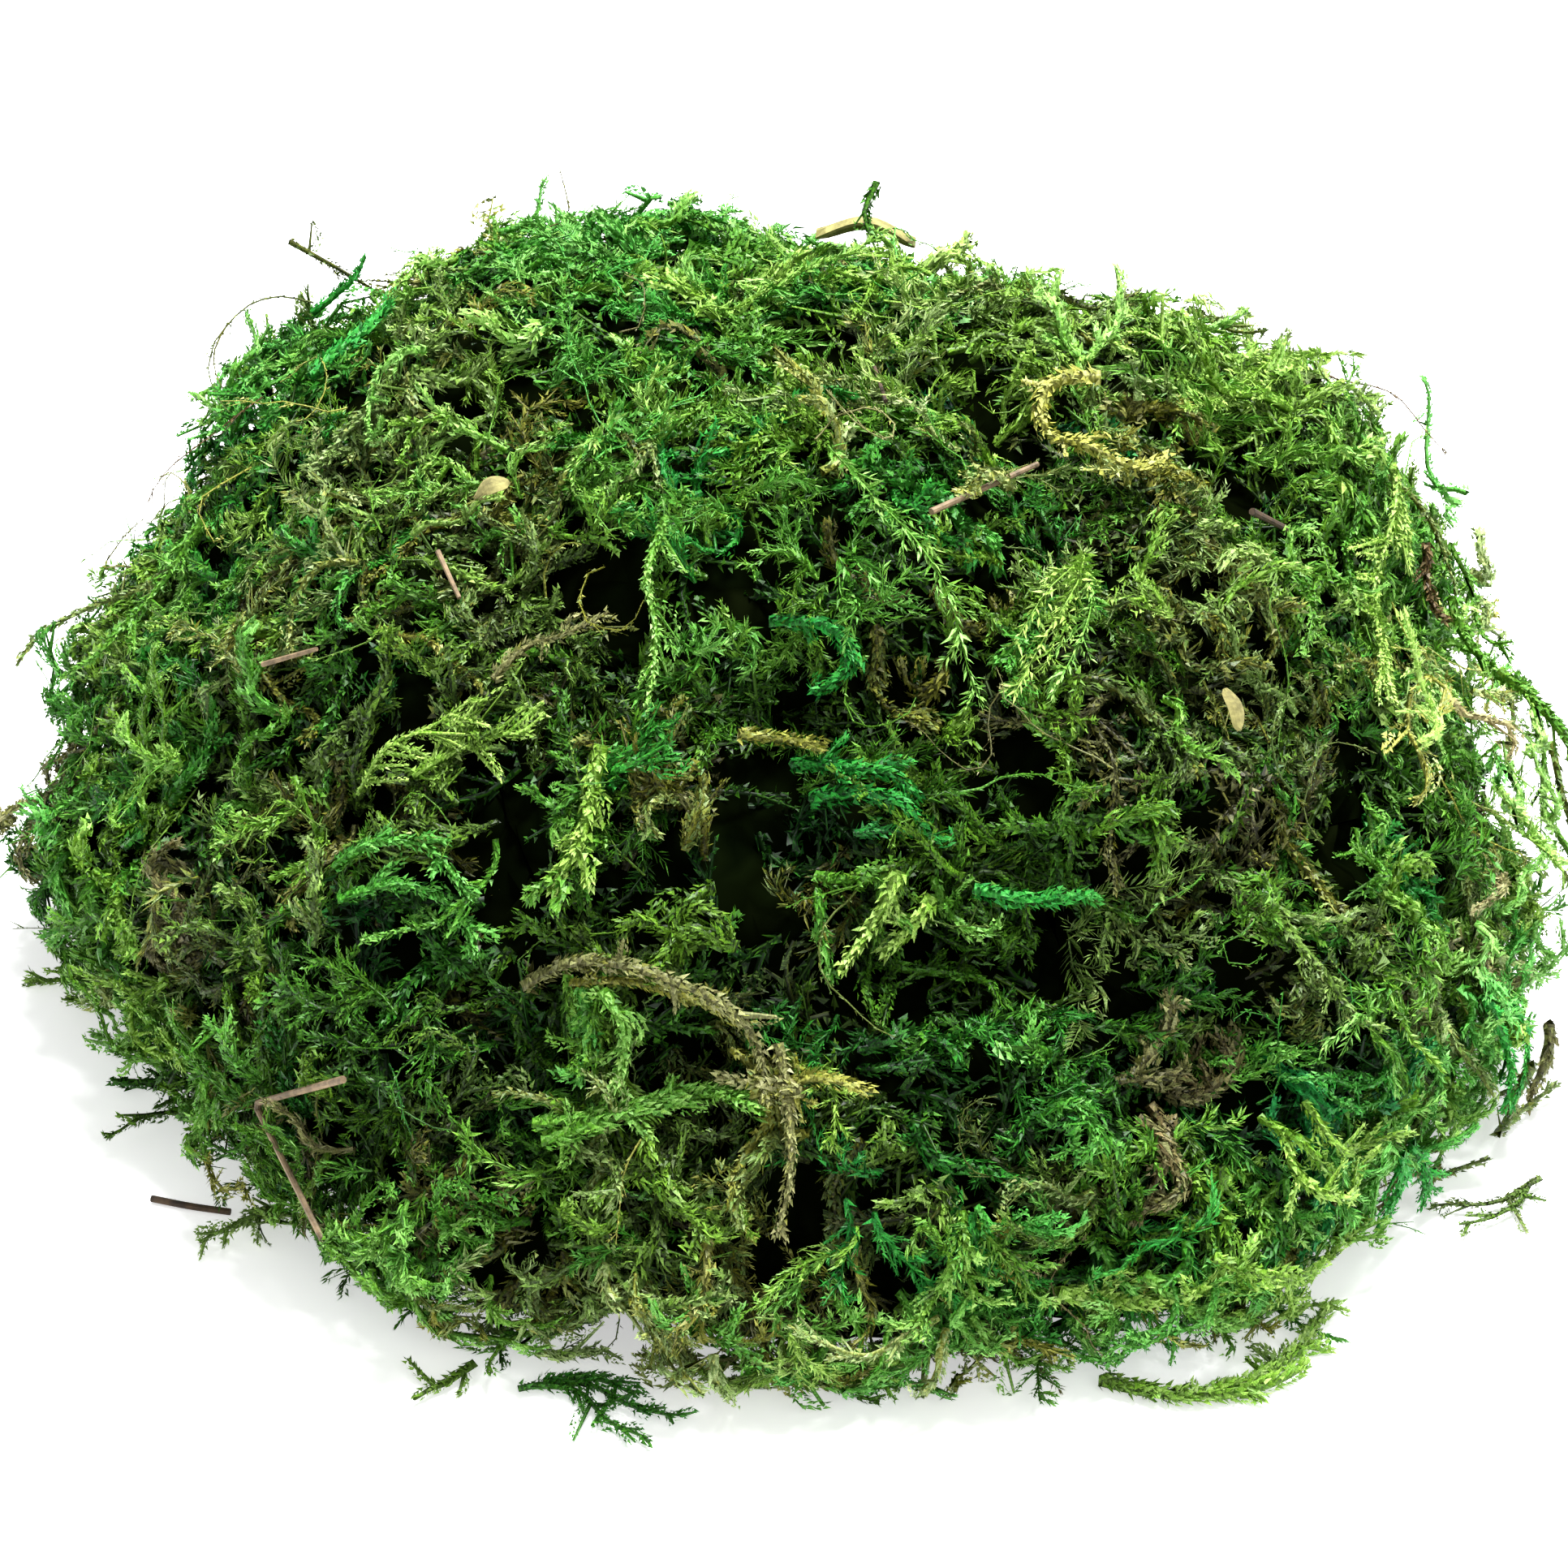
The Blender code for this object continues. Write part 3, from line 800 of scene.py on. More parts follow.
@dataclass(frozen=True)
class DyedMoss:
    """Dried moss, dyed and kept soft with glycerine: matt leaves with a faint damp gloss.

    The dye takes unevenly, so that shoots run from brown and khaki through yellow-green to a bluish
    green. Each leaf is darker at its base, which is painted shade, and the lightness also holds painted
    light and shade by layer and region. Both come from the chart: hue across, and lightness up.
    """

    deep: dict[float, str] = field(
        default_factory=lambda: {
            Hue.BROWN: "170f07",
            Hue.KHAKI: "1a1c08",
            Hue.MUSTARD: "1c1d05",
            Hue.OLIVE: "101b05",
            Hue.YELLOW: "102304",
            Hue.LEAF: "092104",
            Hue.GRASS: "051e04",
            Hue.EMERALD: "031d08",
            Hue.TEAL: "032017",
        }
    )
    middle: dict[float, str] = field(
        default_factory=lambda: {
            Hue.BROWN: "66522e",
            Hue.KHAKI: "6a6f40",
            Hue.MUSTARD: "74761e",
            Hue.OLIVE: "566f34",
            Hue.YELLOW: "618d1a",
            Hue.LEAF: "478218",
            Hue.GRASS: "327a18",
            Hue.EMERALD: "1c8026",
            Hue.TEAL: "1a7a3e",
        }
    )
    pale: dict[float, str] = field(
        default_factory=lambda: {
            Hue.BROWN: "b09a70",
            Hue.KHAKI: "b2b480",
            Hue.MUSTARD: "bebe56",
            Hue.OLIVE: "aec088",
            Hue.YELLOW: "b8d870",
            Hue.LEAF: "a2d272",
            Hue.GRASS: "84ca68",
            Hue.EMERALD: "54c250",
            Hue.TEAL: "4ebc72",
        }
    )
    roughness: float = 0.5
    specular: float = 0.22

    def material(self) -> bpy.types.Material:
        """Makes the material.

        Returns:
            The material, which reads only the colour chart's UV map.
        """
        made = bpy.data.materials.new("dyed_dried_moss")
        made.use_nodes = True
        tree = made.node_tree
        shader = tree.nodes["Principled BSDF"]
        chart = node(tree, "ShaderNodeUVMap", {"uv_map": CHART_MAP}).outputs[0]
        parts = node(tree, "ShaderNodeSeparateXYZ", links={0: chart})
        # Grain as fine as the scales, which are closer set than the leaves that are modelled: random tone,
        # and painted highlights and shade of those scales.
        grain = node(
            tree,
            "ShaderNodeTexNoise",
            {"Scale": SCALES_PER_MM / CHART_PER_MM, "Detail": 2.0},
            {"Vector": chart},
        ).outputs["Fac"]
        shift = node(
            tree,
            "ShaderNodeMapRange",
            {"From Min": 0.32, "From Max": 0.68, "To Min": -0.26, "To Max": 0.24},
            {"Value": grain},
        ).outputs[0]
        light = node(
            tree, "ShaderNodeMath", {"operation": "ADD"}, {0: parts.outputs["Y"], 1: shift}
        ).outputs[0]
        low = node(
            tree,
            "ShaderNodeMapRange",
            {"From Min": 0.0, "From Max": 0.5, "To Min": 0.0, "To Max": 1.0},
            {"Value": light},
        ).outputs[0]
        high = node(
            tree,
            "ShaderNodeMapRange",
            {"From Min": 0.5, "From Max": 1.0, "To Min": 0.0, "To Max": 1.0},
            {"Value": light},
        ).outputs[0]
        deep, middle, pale = [
            node(tree, "ShaderNodeValToRGB", {"stops": stops}, {0: parts.outputs["X"]}).outputs[0]
            for stops in (self.deep, self.middle, self.pale)
        ]
        dark_half = node(
            tree, "ShaderNodeMix", {"data_type": "RGBA"}, {0: low, 6: deep, 7: middle}
        ).outputs[2]
        colour = node(
            tree, "ShaderNodeMix", {"data_type": "RGBA"}, {0: high, 6: dark_half, 7: pale}
        ).outputs[2]
        tree.links.new(colour, shader.inputs["Base Color"])
        shader.inputs["Roughness"].default_value = self.roughness
        shader.inputs["Specular IOR Level"].default_value = self.specular
        return made


@dataclass(frozen=True)
class Fibre:
    """A dull dry plant fibre, such as straw, bark or an old leaf, streaked along its length."""

    name: str
    dark: str
    light: str
    grain_mm: float
    roughness: float
    relief: float  # how deep its grain is, in millimetres

    def material(self) -> bpy.types.Material:
        """Makes the material.

        Returns:
            The material, streaked and blotched at the size of its grain.
        """
        made = bpy.data.materials.new(self.name)
        made.use_nodes = True
        tree = made.node_tree
        shader = tree.nodes["Principled BSDF"]
        place = node(tree, "ShaderNodeTexCoord").outputs["Object"]
        grain = node(
            tree,
            "ShaderNodeTexNoise",
            {"Scale": 1 / (self.grain_mm * MM), "Detail": 4.0, "Roughness": 0.65},
            {"Vector": place},
        ).outputs["Fac"]
        blotch = node(
            tree,
            "ShaderNodeTexNoise",
            {"Scale": 0.22 / (self.grain_mm * MM), "Detail": 2.0},
            {"Vector": place},
        ).outputs["Fac"]
        both = node(
            tree, "ShaderNodeMath", {"operation": "MULTIPLY_ADD", 1: 0.5}, {0: grain, 2: blotch}
        ).outputs[0]
        stops = {0.50: self.dark, 0.95: self.light}
        colour = node(tree, "ShaderNodeValToRGB", {"stops": stops}, {0: both}).outputs[0]
        bump = node(
            tree,
            "ShaderNodeBump",
            {"Strength": 0.8, "Distance": self.relief * MM},
            {"Height": grain},
        ).outputs[0]
        tree.links.new(colour, shader.inputs["Base Color"])
        tree.links.new(bump, shader.inputs["Normal"])
        shader.inputs["Roughness"].default_value = self.roughness
        return made


@dataclass(frozen=True)
class ShadeBlack:
    """A finish for the lining inside each tuft: nearly black, and quite without gloss, painted shade for the
    holes between its shoots.
    """

    colours: dict[float, str] = field(
        default_factory=lambda: {0.1: "020401", 0.35: "050902", 0.6: "030501", 0.9: "080c03"}
    )

    def material(self) -> bpy.types.Material:
        """Makes the material.

        Returns:
            The material, which varies from facet to facet by its place across the colour chart.
        """
        made = bpy.data.materials.new("packed_moss_dust")
        made.use_nodes = True
        tree = made.node_tree
        shader = tree.nodes["Principled BSDF"]
        chart = node(tree, "ShaderNodeUVMap", {"uv_map": CHART_MAP}).outputs[0]
        across = node(tree, "ShaderNodeSeparateXYZ", links={0: chart}).outputs["X"]
        colour = node(tree, "ShaderNodeValToRGB", {"stops": self.colours}, {0: across}).outputs[0]
        tree.links.new(colour, shader.inputs["Base Color"])
        shader.inputs["Roughness"].default_value = 1.0
        shader.inputs["Specular IOR Level"].default_value = 0.0
        return made


STRAW = Fibre("dry_straw", "463924", "8c7658", 0.45, 0.65, 0.10)
TWIG = Fibre("dark_twig_bark", "1b130c", "4d3a26", 0.40, 0.80, 0.14)
PAPERY_LEAF = Fibre("papery_dead_leaf", "57522b", "9a9358", 0.7, 0.85, 0.16)


# ---------------------------------------------------------------------------------------------
# What grows where
# ---------------------------------------------------------------------------------------------


@dataclass(frozen=True)
class Region:
    """A part of the heap with its own look: where it is, which moss lies there, and the painted light and
    shade on its shoots.
    """

    azimuth: float
    elevation: float
    reach: float  # degrees
    hue: Hue
    # painted light and shade added to its shoots' lightness: lighter on the top and the right, darker low on
    # the front
    light: float
    kinds: tuple[Kind, ...]


# Each region's lightness is painted light and shade, after how the light falls on that part of the heap.
REGIONS: tuple[Region, ...] = (
    Region(130.0, 58.0, 26.0, Hue.GRASS, 0.17, (Kind.PLUME, Kind.FINE_FROND)),
    Region(90.0, 62.0, 26.0, Hue.GRASS, 0.18, (Kind.TIDY_FEATHER, Kind.PLUME, Kind.ROPE)),
    Region(30.0, 60.0, 24.0, Hue.YELLOW, 0.16, (Kind.FINE_FROND, Kind.CORD, Kind.PLUME)),
    Region(0.0, 42.0, 22.0, Hue.LEAF, 0.06, (Kind.PLUME, Kind.FINE_FROND, Kind.ROPE)),
    Region(-35.0, 52.0, 20.0, Hue.OLIVE, 0.00, (Kind.FINE_FROND, Kind.CRINKLE)),
    Region(-20.0, 22.0, 22.0, Hue.LEAF, 0.02, (Kind.SCALY_FROND, Kind.PLUME)),
    Region(-50.0, 34.0, 18.0, Hue.OLIVE, -0.05, (Kind.CORD, Kind.CRINKLE)),
    Region(-75.0, 40.0, 20.0, Hue.LEAF, -0.12, (Kind.ROPE, Kind.CORD, Kind.CRINKLE)),
    Region(-95.0, 68.0, 20.0, Hue.LEAF, 0.08, (Kind.PLUME, Kind.FINE_FROND)),
    Region(-108.0, 34.0, 20.0, Hue.LEAF, -0.14, (Kind.ROPE, Kind.CORD)),
    Region(-135.0, 40.0, 18.0, Hue.YELLOW, -0.10, (Kind.SCALY_FROND, Kind.ROPE)),
    Region(-165.0, 48.0, 20.0, Hue.OLIVE, 0.05, (Kind.CORD, Kind.FINE_FROND)),
    Region(-162.0, 20.0, 20.0, Hue.LEAF, -0.05, (Kind.PLUME, Kind.ROPE)),
    Region(-130.0, 14.0, 20.0, Hue.LEAF, -0.19, (Kind.SCALY_FROND, Kind.PLUME)),
    Region(-90.0, 20.0, 18.0, Hue.OLIVE, -0.15, (Kind.CORD, Kind.CRINKLE, Kind.ROPE)),
    Region(-68.0, 14.0, 18.0, Hue.GRASS, -0.04, (Kind.FINE_FROND, Kind.FINE_FROND, Kind.PLUME)),
    Region(-95.0, 5.0, 18.0, Hue.OLIVE, 0.03, (Kind.FINE_FROND, Kind.PLUME)),
    Region(-40.0, 8.0, 18.0, Hue.GRASS, 0.06, (Kind.ROPE, Kind.PLUME)),
    Region(180.0, 10.0, 20.0, Hue.GRASS, 0.04, (Kind.SCALY_FROND, Kind.FINE_FROND)),
    Region(155.0, 38.0, 20.0, Hue.GRASS, 0.08, (Kind.PLUME, Kind.SCALY_FROND)),
)


@dataclass(frozen=True)
class Marked:
    """A shoot that stands out, laid one by one: its look, and the directions that it runs through."""

    kind: Kind
    hue: Hue
    light: float
    route: tuple[tuple[float, float], ...]  # azimuths and elevations in degrees
    lift: float = 1.6  # millimetres over the solids' outside
    rise: float = 0.0  # how much higher its tip is, in millimetres


MARKED: tuple[Marked, ...] = (
    Marked(
        Kind.BARE_CORD,
        Hue.MUSTARD,
        0.80,
        ((-8, 66), (-9, 69), (-14, 70), (-20, 69), (-24, 67), (-23, 65), (-27, 61), (-24, 60), (-19, 59)),
        2.5,
    ),
    Marked(Kind.COMB, Hue.YELLOW, 0.74, ((-134, 37), (-133, 40), (-132, 42), (-130, 44), (-127, 47)), 2.5),
    Marked(Kind.COMB, Hue.YELLOW, 0.66, ((-129, 40), (-127, 43), (-123, 45), (-119, 46)), 1.2),
    Marked(Kind.ROPE, Hue.LEAF, 0.58, ((-109, 19), (-105, 20), (-102, 21), (-99, 22), (-96, 22), (-93, 22))),
    Marked(Kind.BARE_CORD, Hue.LEAF, 0.60, ((-108, 18), (-104, 20), (-100, 21), (-95, 22), (-92, 21))),
    Marked(
        Kind.BARE_CORD,
        Hue.KHAKI,
        0.54,
        ((-112, 28), (-108, 31), (-103, 31), (-98, 30), (-94, 28), (-92, 25), (-92, 22)),
        2.2,
    ),
    Marked(Kind.CORD, Hue.MUSTARD, 0.52, ((-108, 29), (-103, 30), (-98, 29), (-94, 27)), 1.2),
    Marked(Kind.BARE_CORD, Hue.MUSTARD, 0.66, ((-93, 22), (-88, 24), (-84, 23)), 2.6),
    Marked(Kind.BARE_CORD, Hue.KHAKI, 0.62, ((-91, 26), (-90, 22), (-90, 17), (-91, 13)), 2.4),
    Marked(Kind.BARE_CORD, Hue.KHAKI, 0.66, ((-89, 23), (-93, 23), (-96, 23)), 3.0),
    Marked(Kind.CRINKLE, Hue.MUSTARD, 0.58, ((-95, 25), (-91, 23), (-88, 22)), 1.6),
    Marked(Kind.THREAD, Hue.MUSTARD, 0.74, ((-101, 19), (-102, 17), (-102, 15), (-102, 12)), 2.2),
    Marked(Kind.ROPE, Hue.GRASS, 0.62, ((-107, 29), (-106, 26), (-106, 22))),
    Marked(Kind.ROPE, Hue.LEAF, 0.68, ((-105, 29), (-103, 27), (-103, 25), (-103, 22)), 2.4),
    Marked(Kind.BARE_CORD, Hue.YELLOW, 0.70, ((-80, 38), (-82, 35), (-86, 31)), 2.4),
    Marked(Kind.BARE_CORD, Hue.YELLOW, 0.68, ((-77, 36), (-79, 34), (-82, 32)), 2.4),
    Marked(Kind.ROPE, Hue.EMERALD, 0.40, ((-90, 47), (-84, 46), (-79, 45), (-77, 43)), 1.0),
    Marked(Kind.ROPE, Hue.EMERALD, 0.36, ((-88, 44), (-83, 44), (-79, 43), (-77, 41)), 0.6),
    Marked(Kind.CORD, Hue.EMERALD, 0.36, ((-84, 41), (-79, 41), (-75, 40)), 0.4),
    Marked(Kind.ROPE, Hue.EMERALD, 0.60, ((-73, 36), (-70, 35), (-66, 34), (-63, 34)), 2.0),
    Marked(Kind.PLUME, Hue.YELLOW, 0.76, ((-43, 58), (-49, 56), (-55, 54), (-60, 52), (-65, 49)), 3.0),
    Marked(Kind.PLUME, Hue.LEAF, 0.72, ((-45, 57), (-50, 54), (-54, 52), (-62, 48)), 2.4),
    Marked(Kind.PLUME, Hue.YELLOW, 0.74, ((-43, 58), (-49, 57), (-55, 56), (-62, 53)), 2.4),
    Marked(Kind.FINE_FROND, Hue.YELLOW, 0.68, ((-44, 58), (-52, 55), (-58, 52), (-61, 50)), 1.6),
    Marked(
        Kind.PLUME, Hue.LEAF, 0.66, ((-81, 72), (-76, 69), (-71, 64), (-68, 59), (-68, 54), (-68, 49)), 2.8
    ),
    Marked(Kind.ROPE, Hue.GRASS, 0.60, ((-131, 32), (-128, 35), (-124, 36), (-119, 33)), 1.4),
    Marked(Kind.ROPE, Hue.GRASS, 0.56, ((-129, 30), (-125, 33), (-120, 32), (-117, 29)), 1.0),
    Marked(Kind.ROPE, Hue.YELLOW, 0.62, ((-110, 46), (-109, 41), (-109, 38), (-111, 35)), 2.0),
    Marked(Kind.CORD, Hue.KHAKI, 0.56, ((-126, 49), (-125, 53), (-121, 54), (-116, 57)), 2.0),
    Marked(Kind.BARE_CORD, Hue.MUSTARD, 0.62, ((-96, 49), (-91, 49), (-86, 48)), 2.2),
    Marked(Kind.ROPE, Hue.EMERALD, 0.42, ((-93, 58), (-88, 58), (-83, 57), (-82, 54), (-87, 53)), 1.4),
    Marked(Kind.CORD, Hue.LEAF, 0.70, ((-112, 65), (-112, 60), (-108, 56), (-107, 50)), 2.4),
    Marked(Kind.FINE_FROND, Hue.YELLOW, 0.76, ((25, 46), (17, 50), (8, 54), (-6, 59)), 1.6),
    Marked(Kind.PLUME, Hue.YELLOW, 0.72, ((22, 44), (14, 50), (5, 53)), 1.4),
    Marked(Kind.COMB, Hue.YELLOW, 0.76, ((4, 42), (-6, 40), (-16, 38), (-27, 37)), 1.8),
    Marked(Kind.COMB, Hue.LEAF, 0.74, ((-4, 34), (-12, 33), (-22, 32)), 1.4),
    Marked(Kind.ROPE, Hue.EMERALD, 0.66, ((165, 50), (158, 53), (150, 54)), 1.6),
    # Curls that stand off the top, from the left to the right.
    Marked(Kind.CORD, Hue.EMERALD, 0.60, ((150, 46), (147, 49), (146, 51)), 2.0, 6.0),
    Marked(Kind.CORD, Hue.GRASS, 0.62, ((128, 52), (124, 54), (121, 53)), 2.0, 7.0),
    Marked(Kind.THREAD, Hue.KHAKI, 0.50, ((122, 53), (120, 55), (119, 54)), 2.0, 10.0),
    Marked(Kind.ROPE, Hue.LEAF, 0.62, ((112, 55), (107, 57), (103, 55)), 1.6, 2.0),
    Marked(Kind.SCALY_FROND, Hue.GRASS, 0.60, ((106, 54), (101, 57), (98, 55)), 1.6, 2.0),
    Marked(Kind.SCALY_FROND, Hue.LEAF, 0.66, ((86, 58), (82, 56), (79, 54)), 1.6, 5.0),
    Marked(Kind.ROPE, Hue.LEAF, 0.62, ((62, 57), (57, 56), (52, 54)), 1.6, 4.5),
    Marked(Kind.CORD, Hue.YELLOW, 0.60, ((56, 52), (50, 53), (45, 50), (46, 47)), 1.6, 4.0),
    Marked(Kind.CORD, Hue.LEAF, 0.58, ((44, 48), (38, 50), (33, 48), (34, 45)), 1.6, 6.0),
    Marked(Kind.CORD, Hue.OLIVE, 0.50, ((42, 44), (36, 47), (30, 45)), 1.6, 6.0),
    Marked(Kind.THREAD, Hue.BROWN, 0.45, ((26, 42), (21, 41), (16, 38), (14, 35)), 1.5, 7.0),
    Marked(Kind.CORD, Hue.OLIVE, 0.46, ((8, 40), (4, 36), (2, 31)), 2.0, 3.0),
    # Strands on the left flank that end in hooks.
    Marked(Kind.CORD, Hue.LEAF, 0.52, ((178, 40), (-179, 33), (-176, 29), (-177, 25)), 1.6, 6.0),
    Marked(Kind.CORD, Hue.OLIVE, 0.48, ((172, 34), (175, 27), (178, 22)), 2.0, 6.0),
    Marked(Kind.THREAD, Hue.BROWN, 0.40, ((168, 47), (171, 42), (173, 36)), 2.0, 5.0),
    # Ropes that cross the foot at the front right.
    Marked(Kind.ROPE, Hue.YELLOW, 0.56, ((-62, 9), (-57, 6), (-52, 4), (-47, 5)), 4.0, 2.0),
    Marked(Kind.ROPE, Hue.LEAF, 0.60, ((-66, 8), (-62, 4), (-58, 2), (-53, 2)), 4.0, 2.0),
    Marked(Kind.ROPE, Hue.YELLOW, 0.66, ((-72, 8), (-68, 6), (-64, 6), (-61, 8)), 3.0, 1.0),
    Marked(Kind.SCALY_FROND, Hue.EMERALD, 0.60, ((-44, 9), (-42, 5), (-43, 1)), 5.0, 6.0),
    Marked(Kind.SCALY_FROND, Hue.EMERALD, 0.56, ((-41, 8), (-39, 5), (-38, 1)), 5.0, 7.0),
    Marked(Kind.CORD, Hue.OLIVE, 0.44, ((-38, 4), (-35, 1), (-32, 2)), 8.0, 6.0),
    # Bundles that lean on the floor at the right, with gaps between them.
    Marked(Kind.SCALY_FROND, Hue.EMERALD, 0.60, ((-30, 14), (-29, 9), (-31, 6)), 6.0, 3.0),
    Marked(Kind.FINE_FROND, Hue.EMERALD, 0.58, ((-27, 12), (-26, 8), (-28, 4)), 7.0, 3.0),
    Marked(Kind.ROPE, Hue.OLIVE, 0.42, ((-27, 7), (-26, 3), (-25, 1)), 9.0, 4.0),
    Marked(Kind.ROPE, Hue.KHAKI, 0.42, ((-23, 8), (-23, 4), (-22, 1)), 10.0, 4.0),
    Marked(Kind.CORD, Hue.OLIVE, 0.46, ((-29, 2), (-25, 1), (-20, 1)), 12.0, 5.0),
    Marked(Kind.FINE_FROND, Hue.OLIVE, 0.50, ((-16, 16), (-16, 11), (-17, 7)), 11.0, 3.0),
    Marked(Kind.FINE_FROND, Hue.MUSTARD, 0.46, ((-12, 15), (-13, 10), (-15, 6)), 11.0, 4.0),
    Marked(Kind.CORD, Hue.OLIVE, 0.46, ((-8, 22), (-11, 17), (-12, 12), (-11, 8)), 10.0, 4.0),
    Marked(Kind.CORD, Hue.LEAF, 0.54, ((-4, 26), (-7, 21), (-9, 15), (-8, 10)), 9.0, 4.0),
    Marked(Kind.ROPE, Hue.LEAF, 0.56, ((0, 32), (-3, 27), (-6, 25), (-8, 27)), 6.0, 4.0),
    Marked(Kind.CORD, Hue.LEAF, 0.56, ((4, 34), (3, 30), (0, 27), (-3, 28)), 5.0, 7.0),
    Marked(Kind.THREAD, Hue.MUSTARD, 0.60, ((-12, 27), (-8, 27), (-4, 24), (-2, 20)), 6.0, 7.0),
    Marked(Kind.CORD, Hue.BROWN, 0.40, ((2, 36), (-1, 33), (-4, 32)), 3.0, 4.0),
)


COMMON_HUES: tuple[Hue, ...] = (
    *[Hue.LEAF] * 18,
    *[Hue.GRASS] * 8,
    *[Hue.YELLOW] * 11,
    *[Hue.OLIVE] * 9,
    *[Hue.MUSTARD] * 1,
    *[Hue.KHAKI] * 2,
    Hue.EMERALD,
)
COMMON_KINDS: tuple[Kind, ...] = (
    *[Kind.ROPE] * 4,
    *[Kind.CRINKLE] * 3,
    *[Kind.SCALY_FROND] * 3,
    *[Kind.CORD] * 3,
    *[Kind.FINE_FROND] * 2,
    Kind.PLUME,
    Kind.TIDY_FEATHER,
)


@dataclass
class Clumps:
    """Small clumps of like shoots, laid over each other all over the heap. Millimetres."""

    heap: Heap
    count: int
    shoots: tuple[int, int]
    spread: float
    level: tuple[float, float]  # the clump's height over the solids' outside
    # how light the layer's shoots are on the chart; deeper layers are set darker, which is painted shade
    lightness: float
    kinds: tuple[Kind, ...] = ()
    root_sink: float = 3.5  # how far the shoots' roots lie below the clump's level
    tip_rise: tuple[float, float] = (-1.5, 2.5)
    ripple: float = 1.3
    wander: float = 0.26
    steps: int = 12
    back_share: float = 0.8
    downhill: float = 0.8  # how far the shoots hang down the flanks, against any other course
    azimuths: tuple[float, float] = (-180.0, 180.0)
    elevations: tuple[float, float] = (0.0, 90.0)
    tries: int = 60000
    candidates: int = 14  # places looked at for each clump, of which the loneliest is taken
    hue_hold: float = 0.55  # how strictly a region keeps to its hue
    kind_hold: float = 0.7  # and to its kinds of shoot
    fan: float = 0.42  # how far apart the headings of a clump's shoots are
    bend: float = 0.17
    crinkle: float = 1.8  # how much more the crinkled kind bends

    def centres(self, dice: np.random.Generator) -> Array:
        """Chooses the clumps' middles.

        Args:
            dice: Where chance comes from.

        Returns:
            Their directions, spread evenly over the clumps' part of the heap's outside.
        """
        tries = unit(dice.normal(0, 1, (self.tries, 3)))
        tries[:, 2] = np.abs(tries[:, 2])
        azimuth = np.degrees(np.arctan2(tries[:, 1], tries[:, 0]))
        elevation = np.degrees(np.arcsin(tries[:, 2]))
        inside = (azimuth >= self.azimuths[0]) & (azimuth <= self.azimuths[1])
        inside &= (elevation >= self.elevations[0]) & (elevation <= self.elevations[1])
        tries = tries[inside]
        spots = tries * self.heap.radius(tries)[:, None]
        slant = np.maximum(dot(self.heap.normals(spots), tries)[:, 0], 0.3)
        weight = self.heap.radius(tries) ** 2 / slant
        weight *= np.where(tries[:, 1] > 0.35, self.back_share, 1.0)
        keep = dice.uniform(0, weight.max(), len(tries)) < weight
        tries, spots = tries[keep], spots[keep]
        chosen = [0]
        nearest = np.linalg.norm(spots - spots[0], axis=1)
        for k in range(1, self.count):
            pool = np.arange(k * self.candidates, (k + 1) * self.candidates) % len(tries)
            best = int(pool[np.argmax(nearest[pool])])
            chosen.append(best)
            nearest = np.minimum(nearest, np.linalg.norm(spots - spots[best], axis=1))
        return tries[chosen]

    def look(self, way: Array, dice: np.random.Generator) -> tuple[float, float, Kind]:
        """Chooses what grows at one place.

        Args:
            way: The direction of the place.
            dice: Where chance comes from.

        Returns:
            The clump's hue and lightness, which holds its regions' painted light and shade, and its kind of
            shoot.
        """
        hue = float(dice.choice(COMMON_HUES))
        kinds: Sequence[Kind] = COMMON_KINDS
        middles = ways(
            np.array([r.azimuth for r in REGIONS]), np.array([r.elevation for r in REGIONS])
        )
        apart = np.degrees(np.arccos(np.clip(middles @ way, -1, 1)))
        pull = np.exp(-((apart / np.array([r.reach for r in REGIONS])) ** 2))
        first = REGIONS[int(np.argmax(pull))]
        # painted light and shade, blended from the regions nearby
        light = float(pull @ np.array([r.light for r in REGIONS]) / max(pull.sum(), 0.7))
        if dice.uniform() < pull.max() * self.hue_hold:
            hue = float(first.hue)
        if dice.uniform() < pull.max() * self.kind_hold:
            kinds = first.kinds
        kinds = self.kinds or kinds
        return hue + dice.normal(0, 0.035), light, kinds[dice.integers(len(kinds))]

    def lines(
        self, way: Array, lengths: Array, kind: Kind, dice: np.random.Generator
    ) -> tuple[list[Line], Array]:
        """The lines that a clump's shoots lie along.

        Args:
            way: The direction of the clump's middle.
            lengths: The shoots' lengths.
            kind: Their kind.
            dice: Where chance comes from.

        Returns:
            The lines, and how high each lies over the solids' outside, in millimetres.
        """
        count = len(lengths)
        out = self.heap.normals(way[None])[0]
        downhill = unit(np.array([0.0, 0.0, -1.0]) + out * out[2] + 1e-6)
        course = unit(unit(dice.normal(0, 1, 3)) + downhill * self.downhill * (1 - out[2] ** 2))
        middle = way * self.heap.radius(way[None])[0]
        jitter = dice.normal(0, self.spread * MM * 0.5, (count, 3))
        starts = unit(middle + jitter - course * lengths.mean() * 0.5)
        starts[:, 2] = np.abs(starts[:, 2])
        headings = unit(np.tile(course, (count, 1)) + dice.normal(0, self.fan, (count, 3)))
        share = np.linspace(0, 1, self.steps)[None]
        level = dice.uniform(*self.level) + dice.normal(0, 0.8, (count, 1))
        root = dice.uniform(0.3, 1.0, (count, 1)) * self.root_sink
        tip = dice.uniform(*self.tip_rise, (count, 1))
        wave = np.sin(dice.uniform(0, 6.3, (count, 1)) + share * dice.uniform(5, 12, (count, 1)))
        lifts = level - root * (1 - share) ** 2 + tip * share**2 + self.ripple * wave
        turns = dice.normal(0, self.bend, (count, 1))
        turns = turns + dice.normal(0, self.wander, (count, self.steps))
        turns *= self.crinkle if kind is Kind.CRINKLE else 1.0
        return self.heap.draped(starts, headings, lengths, lifts * MM, turns), level[:, 0]

